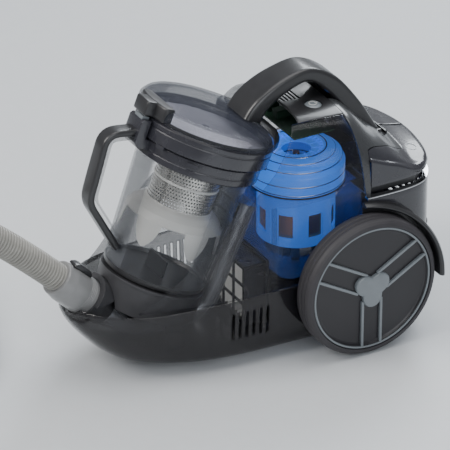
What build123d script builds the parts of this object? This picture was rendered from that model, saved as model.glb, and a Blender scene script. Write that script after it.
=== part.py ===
from build123d import *
import math
import os

# Bagless canister vacuum cleaner with its suction hose.
# Millimetres. +Z is up, the hose inlet faces -Y, and the origin is on the floor
# under the middle of the machine, measured without the hose.

# ---- driving dimensions -------------------------------------------------------
LENGTH = 450.0                  # machine, front lip to rear bulge
FRONT = -LENGTH / 2
REAR = LENGTH / 2
WALL = 2.5                      # moulded shell wall
GAP = 0.5                       # visible gap between covers
HULL_BOTTOM = 15.0              # ground clearance
HULL_RIM = 95.0                 # top edge of the lower tub
TRIM_Z = 188.5                  # underside of the rear trim strip

WHEEL_Y = 103.0
WHEEL_R = 88.0
WHEEL_INNER = 105.0             # inner face of the tyre, from the middle plane
WHEEL_OUTER = 136.0
TYRE_R = 79.5                   # where the tyre meets the wheel disc
PANEL_X = 124.0                 # recessed face of the wheel disc
AXLE_R = 5.0
RUNNING = 0.06                  # radial clearance of a running fit
FENDER_IN = 92.0
FENDER_OUT = 100.5

CASTER_Y = -132.0
CASTER_R = 11.0
CASTER_TRAIL = 7.0
CASTER_PIN_R = 3.0
POCKET_R = 24.0                 # recess in the hull floor for the caster
POCKET_TOP = 29.0

CUP_TILT = 22.0                 # the dust cup leans back by this angle
CUP_TOP = (0.0, -44.0, 282.0)   # middle of the filter ring's top face
RING_R = 83.0
RING_BORE = 75.0
RING_H = 24.0
COLLAR_R = 77.5
COLLAR_LOW = -46.0
CUP_TOP_R = 69.0
CUP_LOW_R = 62.0
CUP_DEPTH = 194.0               # from the ring's top face to the cup's foot
CUP_WALL = 2.5
SHROUD_R = 39.0
SKIRT_R = 59.5                  # flared skirt under the mesh cylinder
SKIRT_TOP = -100.0
SKIRT_LOW = -118.0
PETAL_LOW = -150.0              # tips of the petals that hang from the skirt

COVER_H = 18.0                  # height of the lid above the filter ring
COVER_R = 86.0
HINGE_Y = 167.0                 # hinge of the lid and carrying handle
HINGE_Z = 221.0
HINGE_R = 4.0
DRUM_R = 13.0                   # round root of the handle on its hinge
HANDLE_W = 48.0
LID_SWING_R = 139.8             # the deck ends inside this radius about the hinge

MOTOR_Y = 76.0
FAN_R = 58.0
FAN_LOW = 182.0
FAN_TOP = 224.0
CASING_R = 47.0
CASING_LOW = 110.0
SHAFT_R = 4.0

REEL_Y = 177.0
REEL_Z = 100.0
REEL_R = 39.0
OUTLET_X = 70.0                 # outlet of the mains lead in the rear wall
OUTLET_Z = 120.0

HOSE_R = 17.0
HOSE_WALL = 2.0
CUFF_R = 23.5
INLET = (0.0, -206.8, 96.8)     # middle of the inlet's outer face
CUFF_LENGTH = 50.0
SPIGOT_R = 17.5
SPIGOT_LENGTH = 28.0

# Route of the hose's centre line from the cuff to the wand handle.
FLOOR_Z = 17.5
HOSE_ROUTE = [
    (0.0, -242.155, 132.155),
    (0.0, -300.0, 190.0),
    (5.0, -385.0, 256.0),
    (24.0, -474.0, 300.0),
    (4.0, -560.0, 317.0),
    (-53.0, -628.0, 315.0),
    (-135.0, -661.0, 296.0),
    (-223.0, -653.0, 266.0),
    (-298.0, -605.0, 229.0),
    (-342.0, -529.0, 187.0),
    (-346.0, -440.0, 143.0),
    (-309.0, -360.0, 99.0),
    (-239.0, -306.0, 59.0),
    (-152.0, -290.0, 26.0),
    (-67.0, -316.0, FLOOR_Z),
    (-4.0, -378.0, 17.8),
    (23.0, -459.0, 21.8),
]

# Right-hand halves of the tub's plan at rising heights.
TUB_PLAN = {
    HULL_BOTTOM: [(26, -172), (58, -140), (82, -80), (91, 20), (92, 170), (70, 199), (30, 211)],
    38.0: [(30, -199), (66, -158), (87, -88), (94, 20), (95, 178), (74, 206), (32, 219)],
    80.0: [(33, FRONT), (74, -172), (91, -92), (96, 20), (98, 184), (78, 209), (34, 223)],
    HULL_RIM: [(34, -221), (76, -172), (92, -92), (97, 20), (99, 185), (79, 210), (35, 224)],
}
# Cross-sections of the upper body: right-hand half, from the shoulder to the crown.
BODY_SECTIONS = {
    -182.0: [(64, 0), (66, 140), (60, 180), (48, 200), (0, 206)],
    -60.0: [(93, 0), (92, 160), (86, 205), (70, 236), (0, 246)],
    35.0: [(97, 0), (94, 200), (87, 242), (66, 284), (0, 292)],
    104.0: [(98.5, 0), (98, 230), (88, 260), (66, 282), (0, 289)],
    150.0: [(99.5, 0), (98.5, 221), (80, 237), (46, 247), (0, 251)],
    188.0: [(100, 0), (98, 207), (80, 213), (48, 219), (0, 222)],
    222.0: [(100, 0), (96, 203), (80, 208), (48, 212), (0, 214)],
}
# The leaning joint between the side shells and the rear covers, as (Y, Z).
JOINT_LINE = [(100, 330), (104, 278), (108, 232), (113, 190), (150, 120), (160, 60)]
PANEL_HALF = 60.0               # half width of the control panel
PANEL_FRONT = 37.0

# ---- shared frames ------------------------------------------------------------
tilt = math.radians(CUP_TILT)
CUP_AXIS = Vector(0, math.sin(tilt), math.cos(tilt))
CUP = Plane(origin=CUP_TOP, x_dir=(1, 0, 0), z_dir=CUP_AXIS)
HOSE_OUT = Vector(0, -math.sqrt(0.5), math.sqrt(0.5))
INLET_PLANE = Plane(origin=INLET, x_dir=(1, 0, 0), z_dir=HOSE_OUT)
MOTOR = Plane(origin=(0, MOTOR_Y, 0), x_dir=(1, 0, 0), z_dir=(0, 0, 1))
HINGE_AXIS = Plane(origin=(0, HINGE_Y, HINGE_Z), x_dir=(0, 1, 0), z_dir=(1, 0, 0))
CASTER_PLANE = Plane(origin=(0, CASTER_Y, 0), x_dir=(1, 0, 0), z_dir=(0, 0, 1))
WHEEL_AXIS = Plane(origin=(0, WHEEL_Y, WHEEL_R), x_dir=(0, 1, 0), z_dir=(1, 0, 0))
REEL_AXIS = Plane(origin=(0, REEL_Y, REEL_Z), x_dir=(0, 1, 0), z_dir=(1, 0, 0))


# ---- small helpers ------------------------------------------------------------
def tube(plane, outer, inner, low, high):
    """Ring between two radii, from low to high along the plane's normal."""
    face = Circle(outer) - Circle(inner)
    return extrude(plane.offset(low) * face, amount=high - low)


def rod(plane, radius, low, high):
    return extrude(plane.offset(low) * Circle(radius), amount=high - low)


def cone(plane, low_radius, high_radius, low, high):
    """Solid of revolution between two radii at two heights."""
    faces = [plane.offset(low) * Circle(low_radius), plane.offset(high) * Circle(high_radius)]
    return loft(faces)


def block(x, y, z):
    """Box between pairs of limits."""
    size = (x[1] - x[0], y[1] - y[0], z[1] - z[0])
    middle = ((x[0] + x[1]) / 2, (y[0] + y[1]) / 2, (z[0] + z[1]) / 2)
    return Pos(*middle) * Box(*size)


def outline(points, radius):
    if radius:
        return make_face(FilletPolyline(*points, radius=radius, close=True).edges())
    return make_face(Polyline(*points, close=True).edges())


def side_prism(points, x_low, x_high, radius=0.0):
    """Y-Z outline extruded between two X positions."""
    return extrude(Plane.YZ.offset(x_low) * outline(points, radius), amount=x_high - x_low)


def plan_prism(points, z_low, z_high, radius=0.0):
    """X-Y outline extruded between two heights."""
    return extrude(Plane.XY.offset(z_low) * outline(points, radius), amount=z_high - z_low)


def both_sides(half):
    """Close a right-hand outline with its mirror image."""
    return half + [(-x, y) for x, y in reversed(half)]


def mirror_x(solid):
    return mirror(solid, about=Plane.YZ)


def cup_block(x, y, h):
    """Box in the leaning frame of the dust cup."""
    return CUP * block(x, y, h)


def sector(plane, outer, inner, start, size, low, high):
    """Part of a ring, from a start angle over a given angle."""
    ring = tube(plane, outer, inner, low, high)
    reach = outer * 3
    stops = [start, start + size / 2, start + size]
    corners = [(reach * math.cos(math.radians(a)), reach * math.sin(math.radians(a))) for a in stops]
    wedge = extrude(plane.offset(low) * outline([(0, 0)] + corners, 0), amount=high - low)
    return ring & wedge


def group(*shapes):
    """Several separate solids that share one node."""
    solids = []
    for shape in shapes:
        solids += shape.solids()
    return Compound(children=solids)


def turned(plane, profile, radius=0.0):
    """Solid of revolution from a (radius, height) outline about a plane's normal."""
    return plane * revolve(Plane.XZ * outline(profile, radius), axis=Axis.Z, revolution_arc=360)


def save(name, shape):
    """Write one node; a shape of several solids stays one group."""
    shape.label = name
    export_step(shape, f"parts/{name}.step")


# ---- envelope shapes ----------------------------------------------------------
def tub_solid(inset, lift):
    """Lower hull as a solid; inset and lift give its inside."""
    faces = []
    for height, half in TUB_PLAN.items():
        flat = make_face(Polyline(*both_sides(half), close=True).edges())
        face = fillet(flat.vertices(), 12)
        if inset:
            face = offset(face, amount=-inset, kind=Kind.INTERSECTION)
        faces.append(Plane.XY.offset(height + lift) * face)
    return loft(faces, ruled=True)


def body_solid(inset, foot):
    """Upper body as a solid from its foot to the crown."""
    faces = []
    for station, half in BODY_SECTIONS.items():
        sides = [(x - inset, max(z - inset, foot)) for x, z in half[:-1]]
        crown = [(0, half[-1][1] - inset)]
        mirrored = [(-x, z) for x, z in reversed(sides)]
        section = make_face(Polyline(*(sides + crown + mirrored), close=True).edges())
        plane = Plane(origin=(0, station, 0), x_dir=(1, 0, 0), z_dir=(0, -1, 0))
        faces.append(plane * section)
    return loft(faces, ruled=True)


def body_shell():
    return body_solid(0, HULL_RIM + GAP) - body_solid(WALL, 0)


def rim_face(inset):
    """Plan of the body at the rim, shrunk by an inset."""
    flat = make_face(Polyline(*both_sides(TUB_PLAN[HULL_RIM]), close=True).edges())
    face = fillet(flat.vertices(), 12)
    if inset:
        face = offset(face, amount=-inset, kind=Kind.INTERSECTION)
    return face


def rim_ring(outer_inset, inner_inset, low, high):
    ring = rim_face(outer_inset) - rim_face(inner_inset)
    return extrude(Plane.XY.offset(low) * ring, amount=high - low)


def behind_joint(shift):
    """Everything behind the leaning joint line."""
    front = [(y + shift, z) for y, z in JOINT_LINE]
    return side_prism(front + [(260, 60), (260, 330)], -150, 150)


def ahead_of_joint(shift):
    front = [(y + shift, z) for y, z in JOINT_LINE]
    return side_prism(front + [(-260, 60), (-260, 330)], -150, 150)


def pedal_plan(gap):
    """Plan of the right-hand rear pedal; gap opens it towards the rear cover."""
    front = [(1 + gap, 189 + gap), (60, 185 + gap), (92, 118 + gap), (130, 118 + gap)]
    return front + [(130, 250), (1 + gap, 250)]


# ---- lower hull ---------------------------------------------------------------
SCREW_PLACES = [(62, -95), (76, -10), (76, 150), (55, 192)]
VENT_YS = [-62 + 9 * i for i in range(6)]


def lower_chassis():
    shell = tub_solid(0, 0) - tub_solid(WALL, WALL) - Pos(0, 0, 14) * tub_solid(WALL, WALL)
    pocket = rod(Plane.XY, POCKET_R + 2, HULL_BOTTOM, POCKET_TOP + 2)
    pocket = Pos(0, CASTER_Y, 0) * pocket
    recess = Pos(0, CASTER_Y, 0) * rod(Plane.XY, POCKET_R, 0, POCKET_TOP)
    pin_hole = Pos(0, CASTER_Y, 0) * rod(Plane.XY, CASTER_PIN_R, 0, 40)
    shell = shell + pocket - recess - pin_hole
    shell -= rod(INLET_PLANE, 26.5, -60, 10)
    for side in (-1, 1):
        ends = sorted((side * 82, side * 97))
        boss = rod(WHEEL_AXIS, 12, ends[0], ends[1])
        foot = block(ends, (WHEEL_Y - 4, WHEEL_Y + 4), (16, 80))
        shell += (boss + foot) & tub_solid(0, 0)
        ends = sorted((side * 80, side * 110))
        shell -= rod(WHEEL_AXIS, AXLE_R, ends[0], ends[1])
        for y in VENT_YS:
            ends = sorted((side * 80, side * 110))
            shell -= block(ends, (y, y + 4), (42, 78))
    for x, y in SCREW_PLACES:
        for side in (-1, 1):
            place = Pos(side * x, y, 0)
            shell += place * rod(Plane.XY, 6, HULL_BOTTOM + 1, 40)
            shell -= place * rod(Plane.XY, 2.2, 0, 41)
            shell -= place * rod(Plane.XY, 4.8, 0, HULL_BOTTOM + 1.6)
    return shell


def chassis_screws():
    screws = []
    for x, y in SCREW_PLACES:
        for side in (-1, 1):
            head = rod(Plane.XY, 4.5, HULL_BOTTOM - 0.2, HULL_BOTTOM + 1.6)
            shank = rod(Plane.XY, 2.1, HULL_BOTTOM + 1.6, 38)
            screws.append(Pos(side * x, y, 0) * (head + shank))
    return group(*screws)


# ---- upper covers -------------------------------------------------------------
FRONT_EDGE = [(-176, 60), (-171, HULL_RIM), (-150, 110), (0, 241), (PANEL_FRONT - 2, 300)]


def side_shell(side):
    """Side wall that cradles the dust cup, up to the control panel."""
    shell = body_shell() & ahead_of_joint(-GAP)
    shell = shell & side_prism(FRONT_EDGE + [(200, 330), (200, 60)], -150, 150)
    shell -= block((-PANEL_HALF, PANEL_HALF), (-200, 200), (250, 330))
    ends = sorted((0, side * 150))
    return shell & block(ends, (-260, 260), (60, 330))


def control_panel():
    """Deck under the carrying handle, with slots and the button's hole."""
    shell = body_shell() & ahead_of_joint(-GAP)
    inside = PANEL_HALF - GAP
    panel = shell & block((-inside, inside), (PANEL_FRONT, 200), (250, 330))
    panel = panel & rod(HINGE_AXIS, LID_SWING_R, -PANEL_HALF, PANEL_HALF)
    for i in range(5):
        y = 51 + 5 * i
        panel -= block((-34, 12), (y, y + 2.4), (270, 330))
    panel -= Pos(30, 80, 0) * rod(Plane.XY, 11, 260, 330)
    return panel


def power_button():
    """Round button, slightly domed, that stands in the control panel."""
    cap = Pos(30, 80, 0) * rod(Plane.XY, 10.5, 282, 290.5)
    stem = Pos(30, 80, 0) * rod(Plane.XY, 3, 276, 282)
    cap = fillet(cap.edges().sort_by(Axis.Z)[-1], 1.5)
    return cap + stem


def circuit_board():
    """Board with its electronics under the control panel."""
    board = block((-50, 50), (44, 98), (260, 261.6))
    parts = [board]
    parts.append(block((22, 38), (72, 88), (261.6, 270)))
    parts.append(block((-44, -24), (50, 66), (261.6, 274)))
    parts.append(block((-16, -4), (52, 84), (261.6, 271)))
    for i in range(4):
        parts.append(Pos(-38 + 12 * i, 90, 0) * rod(Plane.XY, 4, 261.6, 272))
    solid = parts[0]
    for piece in parts[1:]:
        solid += piece
    return solid


def rear_cover():
    """Crowned cover over the rear, ahead of the pedals."""
    shell = body_shell() & behind_joint(0)
    shell -= block((-150, 150), (-300, 300), (0, TRIM_Z + 2.5))
    for side in (-1, 1):
        plan = [(side * x, y) for x, y in pedal_plan(0)]
        shell -= plan_prism(plan, 150, 330)
    shell -= block((-2, 2), (186, 300), (150, 330))
    half = HANDLE_W / 2
    slot = block((-half - 1, half + 1), (100, HINGE_Y + DRUM_R + 4), (180, 330))
    lug = block((half + 1.5, half + 6), (HINGE_Y - 8, HINGE_Y + 8), (HINGE_Z - 8, 330))
    lugs = (lug + mirror_x(lug)) & body_solid(1, 0)
    return shell - slot + lugs - hinge_pin()


def hinge_pin():
    return rod(HINGE_AXIS, HINGE_R, -HANDLE_W / 2 - 6, HANDLE_W / 2 + 6)


def pivot_pins():
    """Steel pins of the lid's hinge and of the front caster."""
    head = rod(CASTER_PLANE, 4.6, 23, 24.3)
    return group(hinge_pin(), rod(CASTER_PLANE, CASTER_PIN_R, 24.3, POCKET_TOP + 2) + head)


def rear_body():
    """Wall round the back of the machine, between the tub and the trim."""
    wall = rim_ring(0, WALL, HULL_RIM + GAP, TRIM_Z)
    wall = wall & behind_joint(0)
    for i in range(6):
        wall -= block((-45, 45), (210, 240), (112 + 9 * i, 116 + 9 * i))
    wall -= rod(Plane(origin=(OUTLET_X, 0, OUTLET_Z), z_dir=(0, 1, 0)), 5, 180, 240)
    return wall


def rear_trim():
    """Bright strip under the pedals."""
    return rim_ring(-1, 6, TRIM_Z, TRIM_Z + 2) & behind_joint(0)


def pedal_bed():
    """Shelf and inner wall under the rear pedals."""
    floor = extrude(Plane.XY.offset(TRIM_Z + 2) * rim_face(5.5), amount=2)
    wall = rim_ring(5.5, 8, TRIM_Z + 2, 201)
    bed = (floor + wall) & behind_joint(3)
    bed -= block((-FAN_R, FAN_R), (0, MOTOR_Y + FAN_R + 2), (150, 330))
    return bed - block((-30, 30), (0, HINGE_Y + 10), (150, 330))


def pedal(side):
    """Foot pedal on a rear corner, hollow underneath."""
    outer = extrude(Plane.XY.offset(202) * rim_face(1.5), amount=60)
    inner = extrude(Plane.XY.offset(190) * rim_face(4.5), amount=80)
    skin = (body_solid(0, 100) & outer) - (body_solid(3, 0) & inner)
    plan = [(side * x, y) for x, y in pedal_plan(GAP)]
    return skin & plan_prism(plan, 190, 330)


SPRING_PLACES = [(78, 165), (46, 200)]


def pedal_springs():
    springs = []
    for x, y in SPRING_PLACES:
        for side in (-1, 1):
            springs.append(Pos(side * x, y, TRIM_Z + 4.5) * tube(Plane.XY, 4.5, 3.2, 0, 8))
    return group(*springs)


# ---- wheels -------------------------------------------------------------------
def fenders():
    """Arches over the rear half of each wheel, on webs that join the body."""
    band = sector(WHEEL_AXIS, FENDER_OUT, FENDER_IN, -4, 100, 102.2, 140)
    web = sector(WHEEL_AXIS, FENDER_OUT, 66, -4, 100, 102.2, 104)
    left = band + web
    return group(left, mirror_x(left))


def wheel_section(points):
    """Ring made by turning an (X, radius) outline about the axle line."""
    face = Plane.XY * outline(points, 0)
    turned = revolve(face, axis=Axis.X, revolution_arc=360)
    return Pos(0, WHEEL_Y, WHEEL_R) * turned


def tyre():
    low = WHEEL_INNER
    high = WHEEL_OUTER
    points = [(low, TYRE_R), (low, 84), (low + 3, 87), (low + 8, WHEEL_R), (high - 10, WHEEL_R)]
    points += [(high - 5, 87), (high - 1.5, 84.5), (high, 81), (high, TYRE_R)]
    return wheel_section(points)


def wheel_disc():
    points = [(108, TYRE_R), (132, TYRE_R), (133, 78.8), (133, 75.2), (PANEL_X, 73.5), (PANEL_X, 13)]
    points += [(130, 13), (130, AXLE_R + RUNNING), (103.5, AXLE_R + RUNNING), (103.5, 11)]
    points += [(119, 13), (PANEL_X - 3, 16), (PANEL_X - 3, 72), (108, 76)]
    return wheel_section(points)


def wheel_accent():
    """Pale ring and three double spokes set into the wheel disc."""
    ring = tube(WHEEL_AXIS, 78.7, 75.4, 133, 134.4)
    spokes = []
    for turn in (30, 150, 270):
        for shift in (-12.5, 12.5):
            bar = extrude(
                WHEEL_AXIS.offset(PANEL_X) * (Rot(0, 0, turn) * Pos(45, shift) * Rectangle(64, 3.6)),
                amount=10,
            )
            spokes.append(bar)
    web = rod(WHEEL_AXIS, 73.3, PANEL_X, 133) + rod(WHEEL_AXIS, 75.6, 133, 134.4)
    solid = ring
    for bar in spokes:
        solid += bar & web
    hub = tube(WHEEL_AXIS, 20, 13.2, PANEL_X, 131)
    return solid + hub


def wheel_trim():
    """Pale ring, double spokes and the three-lobed cap over the axle's end."""
    lobes = rod(WHEEL_AXIS, 13.5, 131, 136.5)
    for turn in (30, 150, 270):
        lobe = WHEEL_AXIS * (Rot(0, 0, turn) * Pos(13, 0, 0) * Cylinder(7.5, 5.5))
        lobes += Pos(133.75, 0, 0) * lobe
    return wheel_accent() + lobes


def wheel_axles():
    left = rod(WHEEL_AXIS, AXLE_R, 83, 129.5)
    return group(left, mirror_x(left))


# ---- front caster -------------------------------------------------------------
CASTER_AXLE = Plane(
    origin=(0, CASTER_Y + CASTER_TRAIL, CASTER_R), x_dir=(0, 1, 0), z_dir=(1, 0, 0)
)


def caster_fork():
    table = rod(CASTER_PLANE, 19, 24.5, 28)
    cheeks = block((-11, -7.5), (CASTER_Y, CASTER_Y + 12), (8, 25))
    cheeks += block((7.5, 11), (CASTER_Y, CASTER_Y + 12), (8, 25))
    fork = table + cheeks
    fork -= rod(CASTER_PLANE, CASTER_PIN_R + RUNNING, 0, 40)
    fork -= rod(CASTER_PLANE, 13.5, 0, 23) & block((-7.5, 7.5), (-200, 0), (0, 40))
    return fork + rod(CASTER_AXLE, 1.5, -8, 8)


def caster_wheel():
    wheel = tube(CASTER_AXLE, CASTER_R, 1.5 + RUNNING, -6.5, 6.5)
    return fillet(wheel.edges().filter_by(GeomType.CIRCLE).sort_by(SortBy.RADIUS)[-2:], 2)


# ---- air path in the hull -----------------------------------------------------
DUCT_W = 52.0
DUCT_T = 24.0
DUCT_WALL = 1.8
WALL_DIR = (0.421, 0.907)       # lean of the cup's rear wall in Y-Z
RISER_FOOT = (-46.0, 71.5)      # a point of the riser's centre line
DUCT_Z = 45.0


def riser_point(distance):
    return (RISER_FOOT[0] + WALL_DIR[0] * distance, RISER_FOOT[1] + WALL_DIR[1] * distance)


def duct_solid(shrink, top):
    """Flat duct under and behind the cup; shrink gives its inside."""
    start = INLET_PLANE.offset(-56)
    bend_y = RISER_FOOT[0] - (RISER_FOOT[1] - DUCT_Z) * WALL_DIR[0] / WALL_DIR[1]
    first = start.origin
    run = first.Z - DUCT_Z
    points = [(first.Y, first.Z), (first.Y + run, DUCT_Z), (bend_y, DUCT_Z), riser_point(top)]
    path = FilletPolyline(*[(0, y, z) for y, z in points], radius=[26, 25])
    size = (DUCT_W - 2 * shrink, DUCT_T - 2 * shrink)
    section = RectangleRounded(size[0], size[1], 9 - shrink)
    solid = sweep(start * section, path=path)
    mouth = [INLET_PLANE.offset(-31.5) * Circle(20.8 - shrink), INLET_PLANE.offset(-56) * section]
    return solid + loft(mouth)


def duct_port(shrink, reach):
    """Short branch from the riser's top towards the cup's rear wall."""
    spot = riser_point(100)
    plane = Plane(origin=(0, spot[0], spot[1]), x_dir=(1, 0, 0), z_dir=(0, -WALL_DIR[1], WALL_DIR[0]))
    section = RectangleRounded(44 - 2 * shrink, 20 - 2 * shrink, 5 - shrink)
    return extrude(plane * section, amount=reach)


def inlet_duct():
    outer = duct_solid(0, 112) + duct_port(0, 13)
    inner = duct_solid(DUCT_WALL, 110) + duct_port(DUCT_WALL, 14)
    mouth = rod(INLET_PLANE, 20.8 - DUCT_WALL, -40, -31)
    return outer - inner - mouth


def cup_wall_solid(extra):
    radii = (CUP_LOW_R + extra, CUP_TOP_R + extra)
    return cone(CUP, radii[0], radii[1], -CUP_DEPTH, COLLAR_LOW + 6)


def lead_grommet():
    """Grommet of the mains lead's outlet in the rear wall."""
    plane = Plane(origin=(OUTLET_X, 0, OUTLET_Z), z_dir=(0, 1, 0))
    return tube(plane, 4.9, 3.5, 203, 214)


def rubber_seals():
    """Frames at the cup's air inlet and behind the exhaust filter, and the lead's grommet."""
    frame = duct_port(0, 30) - duct_port(3, 30) - duct_port(0, 13)
    gasket = block((-42, 42), (14.2, 16), (20, 104)) - block((-37, 37), (14, 17), (25, 99))
    return group(frame - cup_wall_solid(0.5), gasket, lead_grommet())


def inlet_collar():
    """Socket for the hose cuff in the front of the hull."""
    socket = tube(INLET_PLANE, 26.2, 24.1, -12, 0)
    step = tube(INLET_PLANE, 26.2, SPIGOT_R + 0.1, -14, -12)
    neck = tube(INLET_PLANE, 20.8, SPIGOT_R + 0.1, -31.2, -14)
    hood = tube(INLET_PLANE, 31, 25.5, -46, -1)
    hood = hood & block((-60, 60), (FRONT, 0), (HULL_RIM + GAP, 300))
    collar = socket + step + neck + hood - rod(INLET_PLANE, 24.1, -12, 5)
    return collar & block((-40, 40), (FRONT, 0), (0, 300))


def cup_seat():
    """Leaning seat that the dust cup stands on."""
    dish = rod(CUP, 64, -198, -195)
    skirt = tube(CUP, 63, 60.5, -232, -198)
    post = block((40, 43), (-122, -98), (HULL_BOTTOM + WALL + 0.1, 120))
    posts = (post + mirror_x(post)) & rod(CUP, 64, -300, -196)
    seat = dish + skirt + posts - rod(INLET_PLANE, 31.5, -70, 60) - duct_solid(-0.5, 112)
    rear = Plane(origin=(0, *riser_point(0)), x_dir=(1, 0, 0), z_dir=(0, *WALL_DIR))
    return seat - extrude(rear.offset(-60) * RectangleRounded(DUCT_W + 2, DUCT_T + 2, 9), amount=200)


def hepa_frame():
    """Frame of the exhaust filter with nine windows."""
    body = block((-39, 39), (-16.5, 11), (22, 102))
    body += block((-43, 43), (11, 14), (19, 105))
    body -= block((-36, 36), (-14, 15), (25, 99))
    for column in range(3):
        for row in range(3):
            x = -24.5 + 24.5 * column
            z = 37.5 + 24.5 * row
            body -= block((x - 10.5, x + 10.5), (-20, -10), (z - 10.5, z + 10.5))
    return body


def hepa_pleats():
    """Pleated paper pack inside the frame."""
    count = 18
    pitch = 70.0 / count
    zigzag = []
    for i in range(count + 1):
        zigzag.append((-35 + i * pitch, -12 if i % 2 else 4))
    back = [(x, y + 3.5) for x, y in reversed(zigzag)]
    return plan_prism(zigzag + back, 26, 98)


def exhaust_duct():
    """Box duct from under the motor to the exhaust filter."""
    box = block((-45, 45), (16.2, 130), (19, 90))
    box -= block((-43, 43), (18.2, 128), (21, 88))
    box -= block((-37, 37), (15, 20), (25, 88))
    return box - Pos(0, MOTOR_Y, 0) * rod(Plane.XY, 40, 80, 95)


# ---- motor --------------------------------------------------------------------
def motor_chamber():
    """Plenum round the motor, wider at its foot."""
    low = Plane.XY.offset(92) * (Pos(0, MOTOR_Y + 1) * RectangleRounded(150, 118, 16))
    high = Plane.XY.offset(180) * (Pos(0, MOTOR_Y + 1) * RectangleRounded(128, 120, 24))
    outer = loft([low, high])
    low = Plane.XY.offset(94) * (Pos(0, MOTOR_Y + 1) * RectangleRounded(146, 114, 14))
    high = Plane.XY.offset(178) * (Pos(0, MOTOR_Y + 1) * RectangleRounded(124, 116, 22))
    chamber = outer - loft([low, high])
    chamber -= rod(MOTOR, FAN_R - 6, 170, 190)
    chamber -= rod(MOTOR, 38, 80, 100)
    ribs = block((-1, 1), (18.5, 27), (110, 170))
    for x in (-40, 40):
        chamber += Pos(x, 0, 0) * ribs
    return chamber


def motor_mounts():
    """Rubber ring under the fan housing, and a rubber cup with arms on the lower boss."""
    upper = tube(MOTOR, FAN_R, CASING_R + 0.4, 180.2, FAN_LOW)
    ring = tube(MOTOR, 18, 12.2, 94.5, 104)
    arms = None
    for turn in (90, 210, 330):
        arm = Rot(0, 0, turn) * block((15, 48), (-5, 5), (94.5, 98))
        arms = arm if arms is None else arms + arm
    return group(upper, ring + Pos(0, MOTOR_Y, 0) * arms - rod(MOTOR, 12.2, 90, 110))


def fan_housing():
    """Stepped upper housing round the fan, with the suction eye."""
    profile = [(FAN_R, FAN_LOW + 0.2), (FAN_R, 208), (54, 211), (54, 216), (46, 219), (46, FAN_TOP - 2)]
    profile += [(38, FAN_TOP), (32, FAN_TOP), (32, 220), (18, 220), (18, 217), (30, 217)]
    profile += [(43, 215), (51, 209), (FAN_R - 2.5, 205), (FAN_R - 2.5, FAN_LOW + 2.2)]
    profile += [(CASING_R, FAN_LOW + 2.2), (CASING_R, FAN_LOW + 0.2)]
    turned = revolve(Plane.XZ * outline(profile, 0), axis=Axis.Z, revolution_arc=360)
    return Pos(0, MOTOR_Y, 0) * turned


def motor_casing():
    """Lower housing with cooling windows, the bearing boss and the upper bridge."""
    wall = tube(MOTOR, CASING_R, CASING_R - 2, CASING_LOW, FAN_LOW)
    floor = tube(MOTOR, CASING_R, 8, CASING_LOW, CASING_LOW + 2)
    boss = tube(MOTOR, 12, 8, 95, CASING_LOW)
    casing = wall + floor + boss
    for i in range(8):
        window = Rot(0, 0, 45 * i) * block((30, 60), (-9, 9), (122, 152))
        casing -= Pos(0, MOTOR_Y, 0) * window
    for i in range(6):
        slot = Rot(0, 0, 60 * i + 30) * block((20, 38), (-6, 6), (100, 120))
        casing -= Pos(0, MOTOR_Y, 0) * slot
    bridge = tube(MOTOR, CASING_R, 8, 178.5, 181)
    for i in range(6):
        slot = Rot(0, 0, 60 * i) * block((16, 40), (-7, 7), (170, 184))
        bridge -= Pos(0, MOTOR_Y, 0) * slot
    return casing + bridge + tube(MOTOR, 11, 8, 181, 186.5)


def motor_stator():
    """Field windings and laminations pressed into the casing."""
    core = tube(MOTOR, CASING_R - 2, 29, 126, 168)
    heads = tube(MOTOR, 40, 30, 118, 126) + tube(MOTOR, 40, 30, 168, 176)
    return core + heads


def motor_rotor():
    """Shaft with its wound armature and commutator."""
    core = rod(MOTOR, 28, 130, 164)
    for i in range(12):
        slot = Rot(0, 0, 30 * i) * block((20, 30), (-1, 1), (125, 170))
        core -= Pos(0, MOTOR_Y, 0) * slot
    return core + rod(MOTOR, 12, 116, 130) + rod(MOTOR, SHAFT_R, 97, 214)


def motor_fan():
    """Impeller of two discs with curved blades."""
    fan = tube(MOTOR, 48, SHAFT_R, 192, 194) + tube(MOTOR, 10, SHAFT_R, 194, 210)
    fan += tube(MOTOR, 48, 24, 203, 204.5)
    for i in range(9):
        blade = Rot(0, 0, 40 * i) * block((9.5, 46), (-0.7, 0.7), (194, 203.2))
        fan += Pos(0, MOTOR_Y, 0) * blade
    return fan


def motor_bearings():
    """Ball bearings, drawn as plain rings, at both ends of the shaft."""
    return group(*[tube(MOTOR, 8, SHAFT_R + RUNNING, low, low + 7) for low in (100, 179)])


# ---- cord reel ----------------------------------------------------------------
def cord_reel():
    """Empty drum with two flanges; the mains lead is not fitted."""
    drum = tube(REEL_AXIS, 20, 6 + RUNNING, -24, 24)
    flanges = tube(REEL_AXIS, REEL_R, 6 + RUNNING, -26, -24) + tube(REEL_AXIS, REEL_R, 6 + RUNNING, 24, 26)
    return drum + flanges


def reel_bracket():
    """Two uprights on a foot, with the reel's axle and the flat rewind spring's case."""
    bracket = block((-40, 40), (REEL_Y - 22, REEL_Y + 18), (19, 22))
    for side in (-1, 1):
        ends = sorted((side * 30, side * 34))
        bracket += block(ends, (REEL_Y - 14, REEL_Y + 14), (22, REEL_Z + 14))
    case = rod(REEL_AXIS, 30, 26.6, 30)
    return bracket + rod(REEL_AXIS, 6, -32, 32) + case


# ---- dust cup -----------------------------------------------------------------
BLOCK_HALF = 15.0


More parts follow.
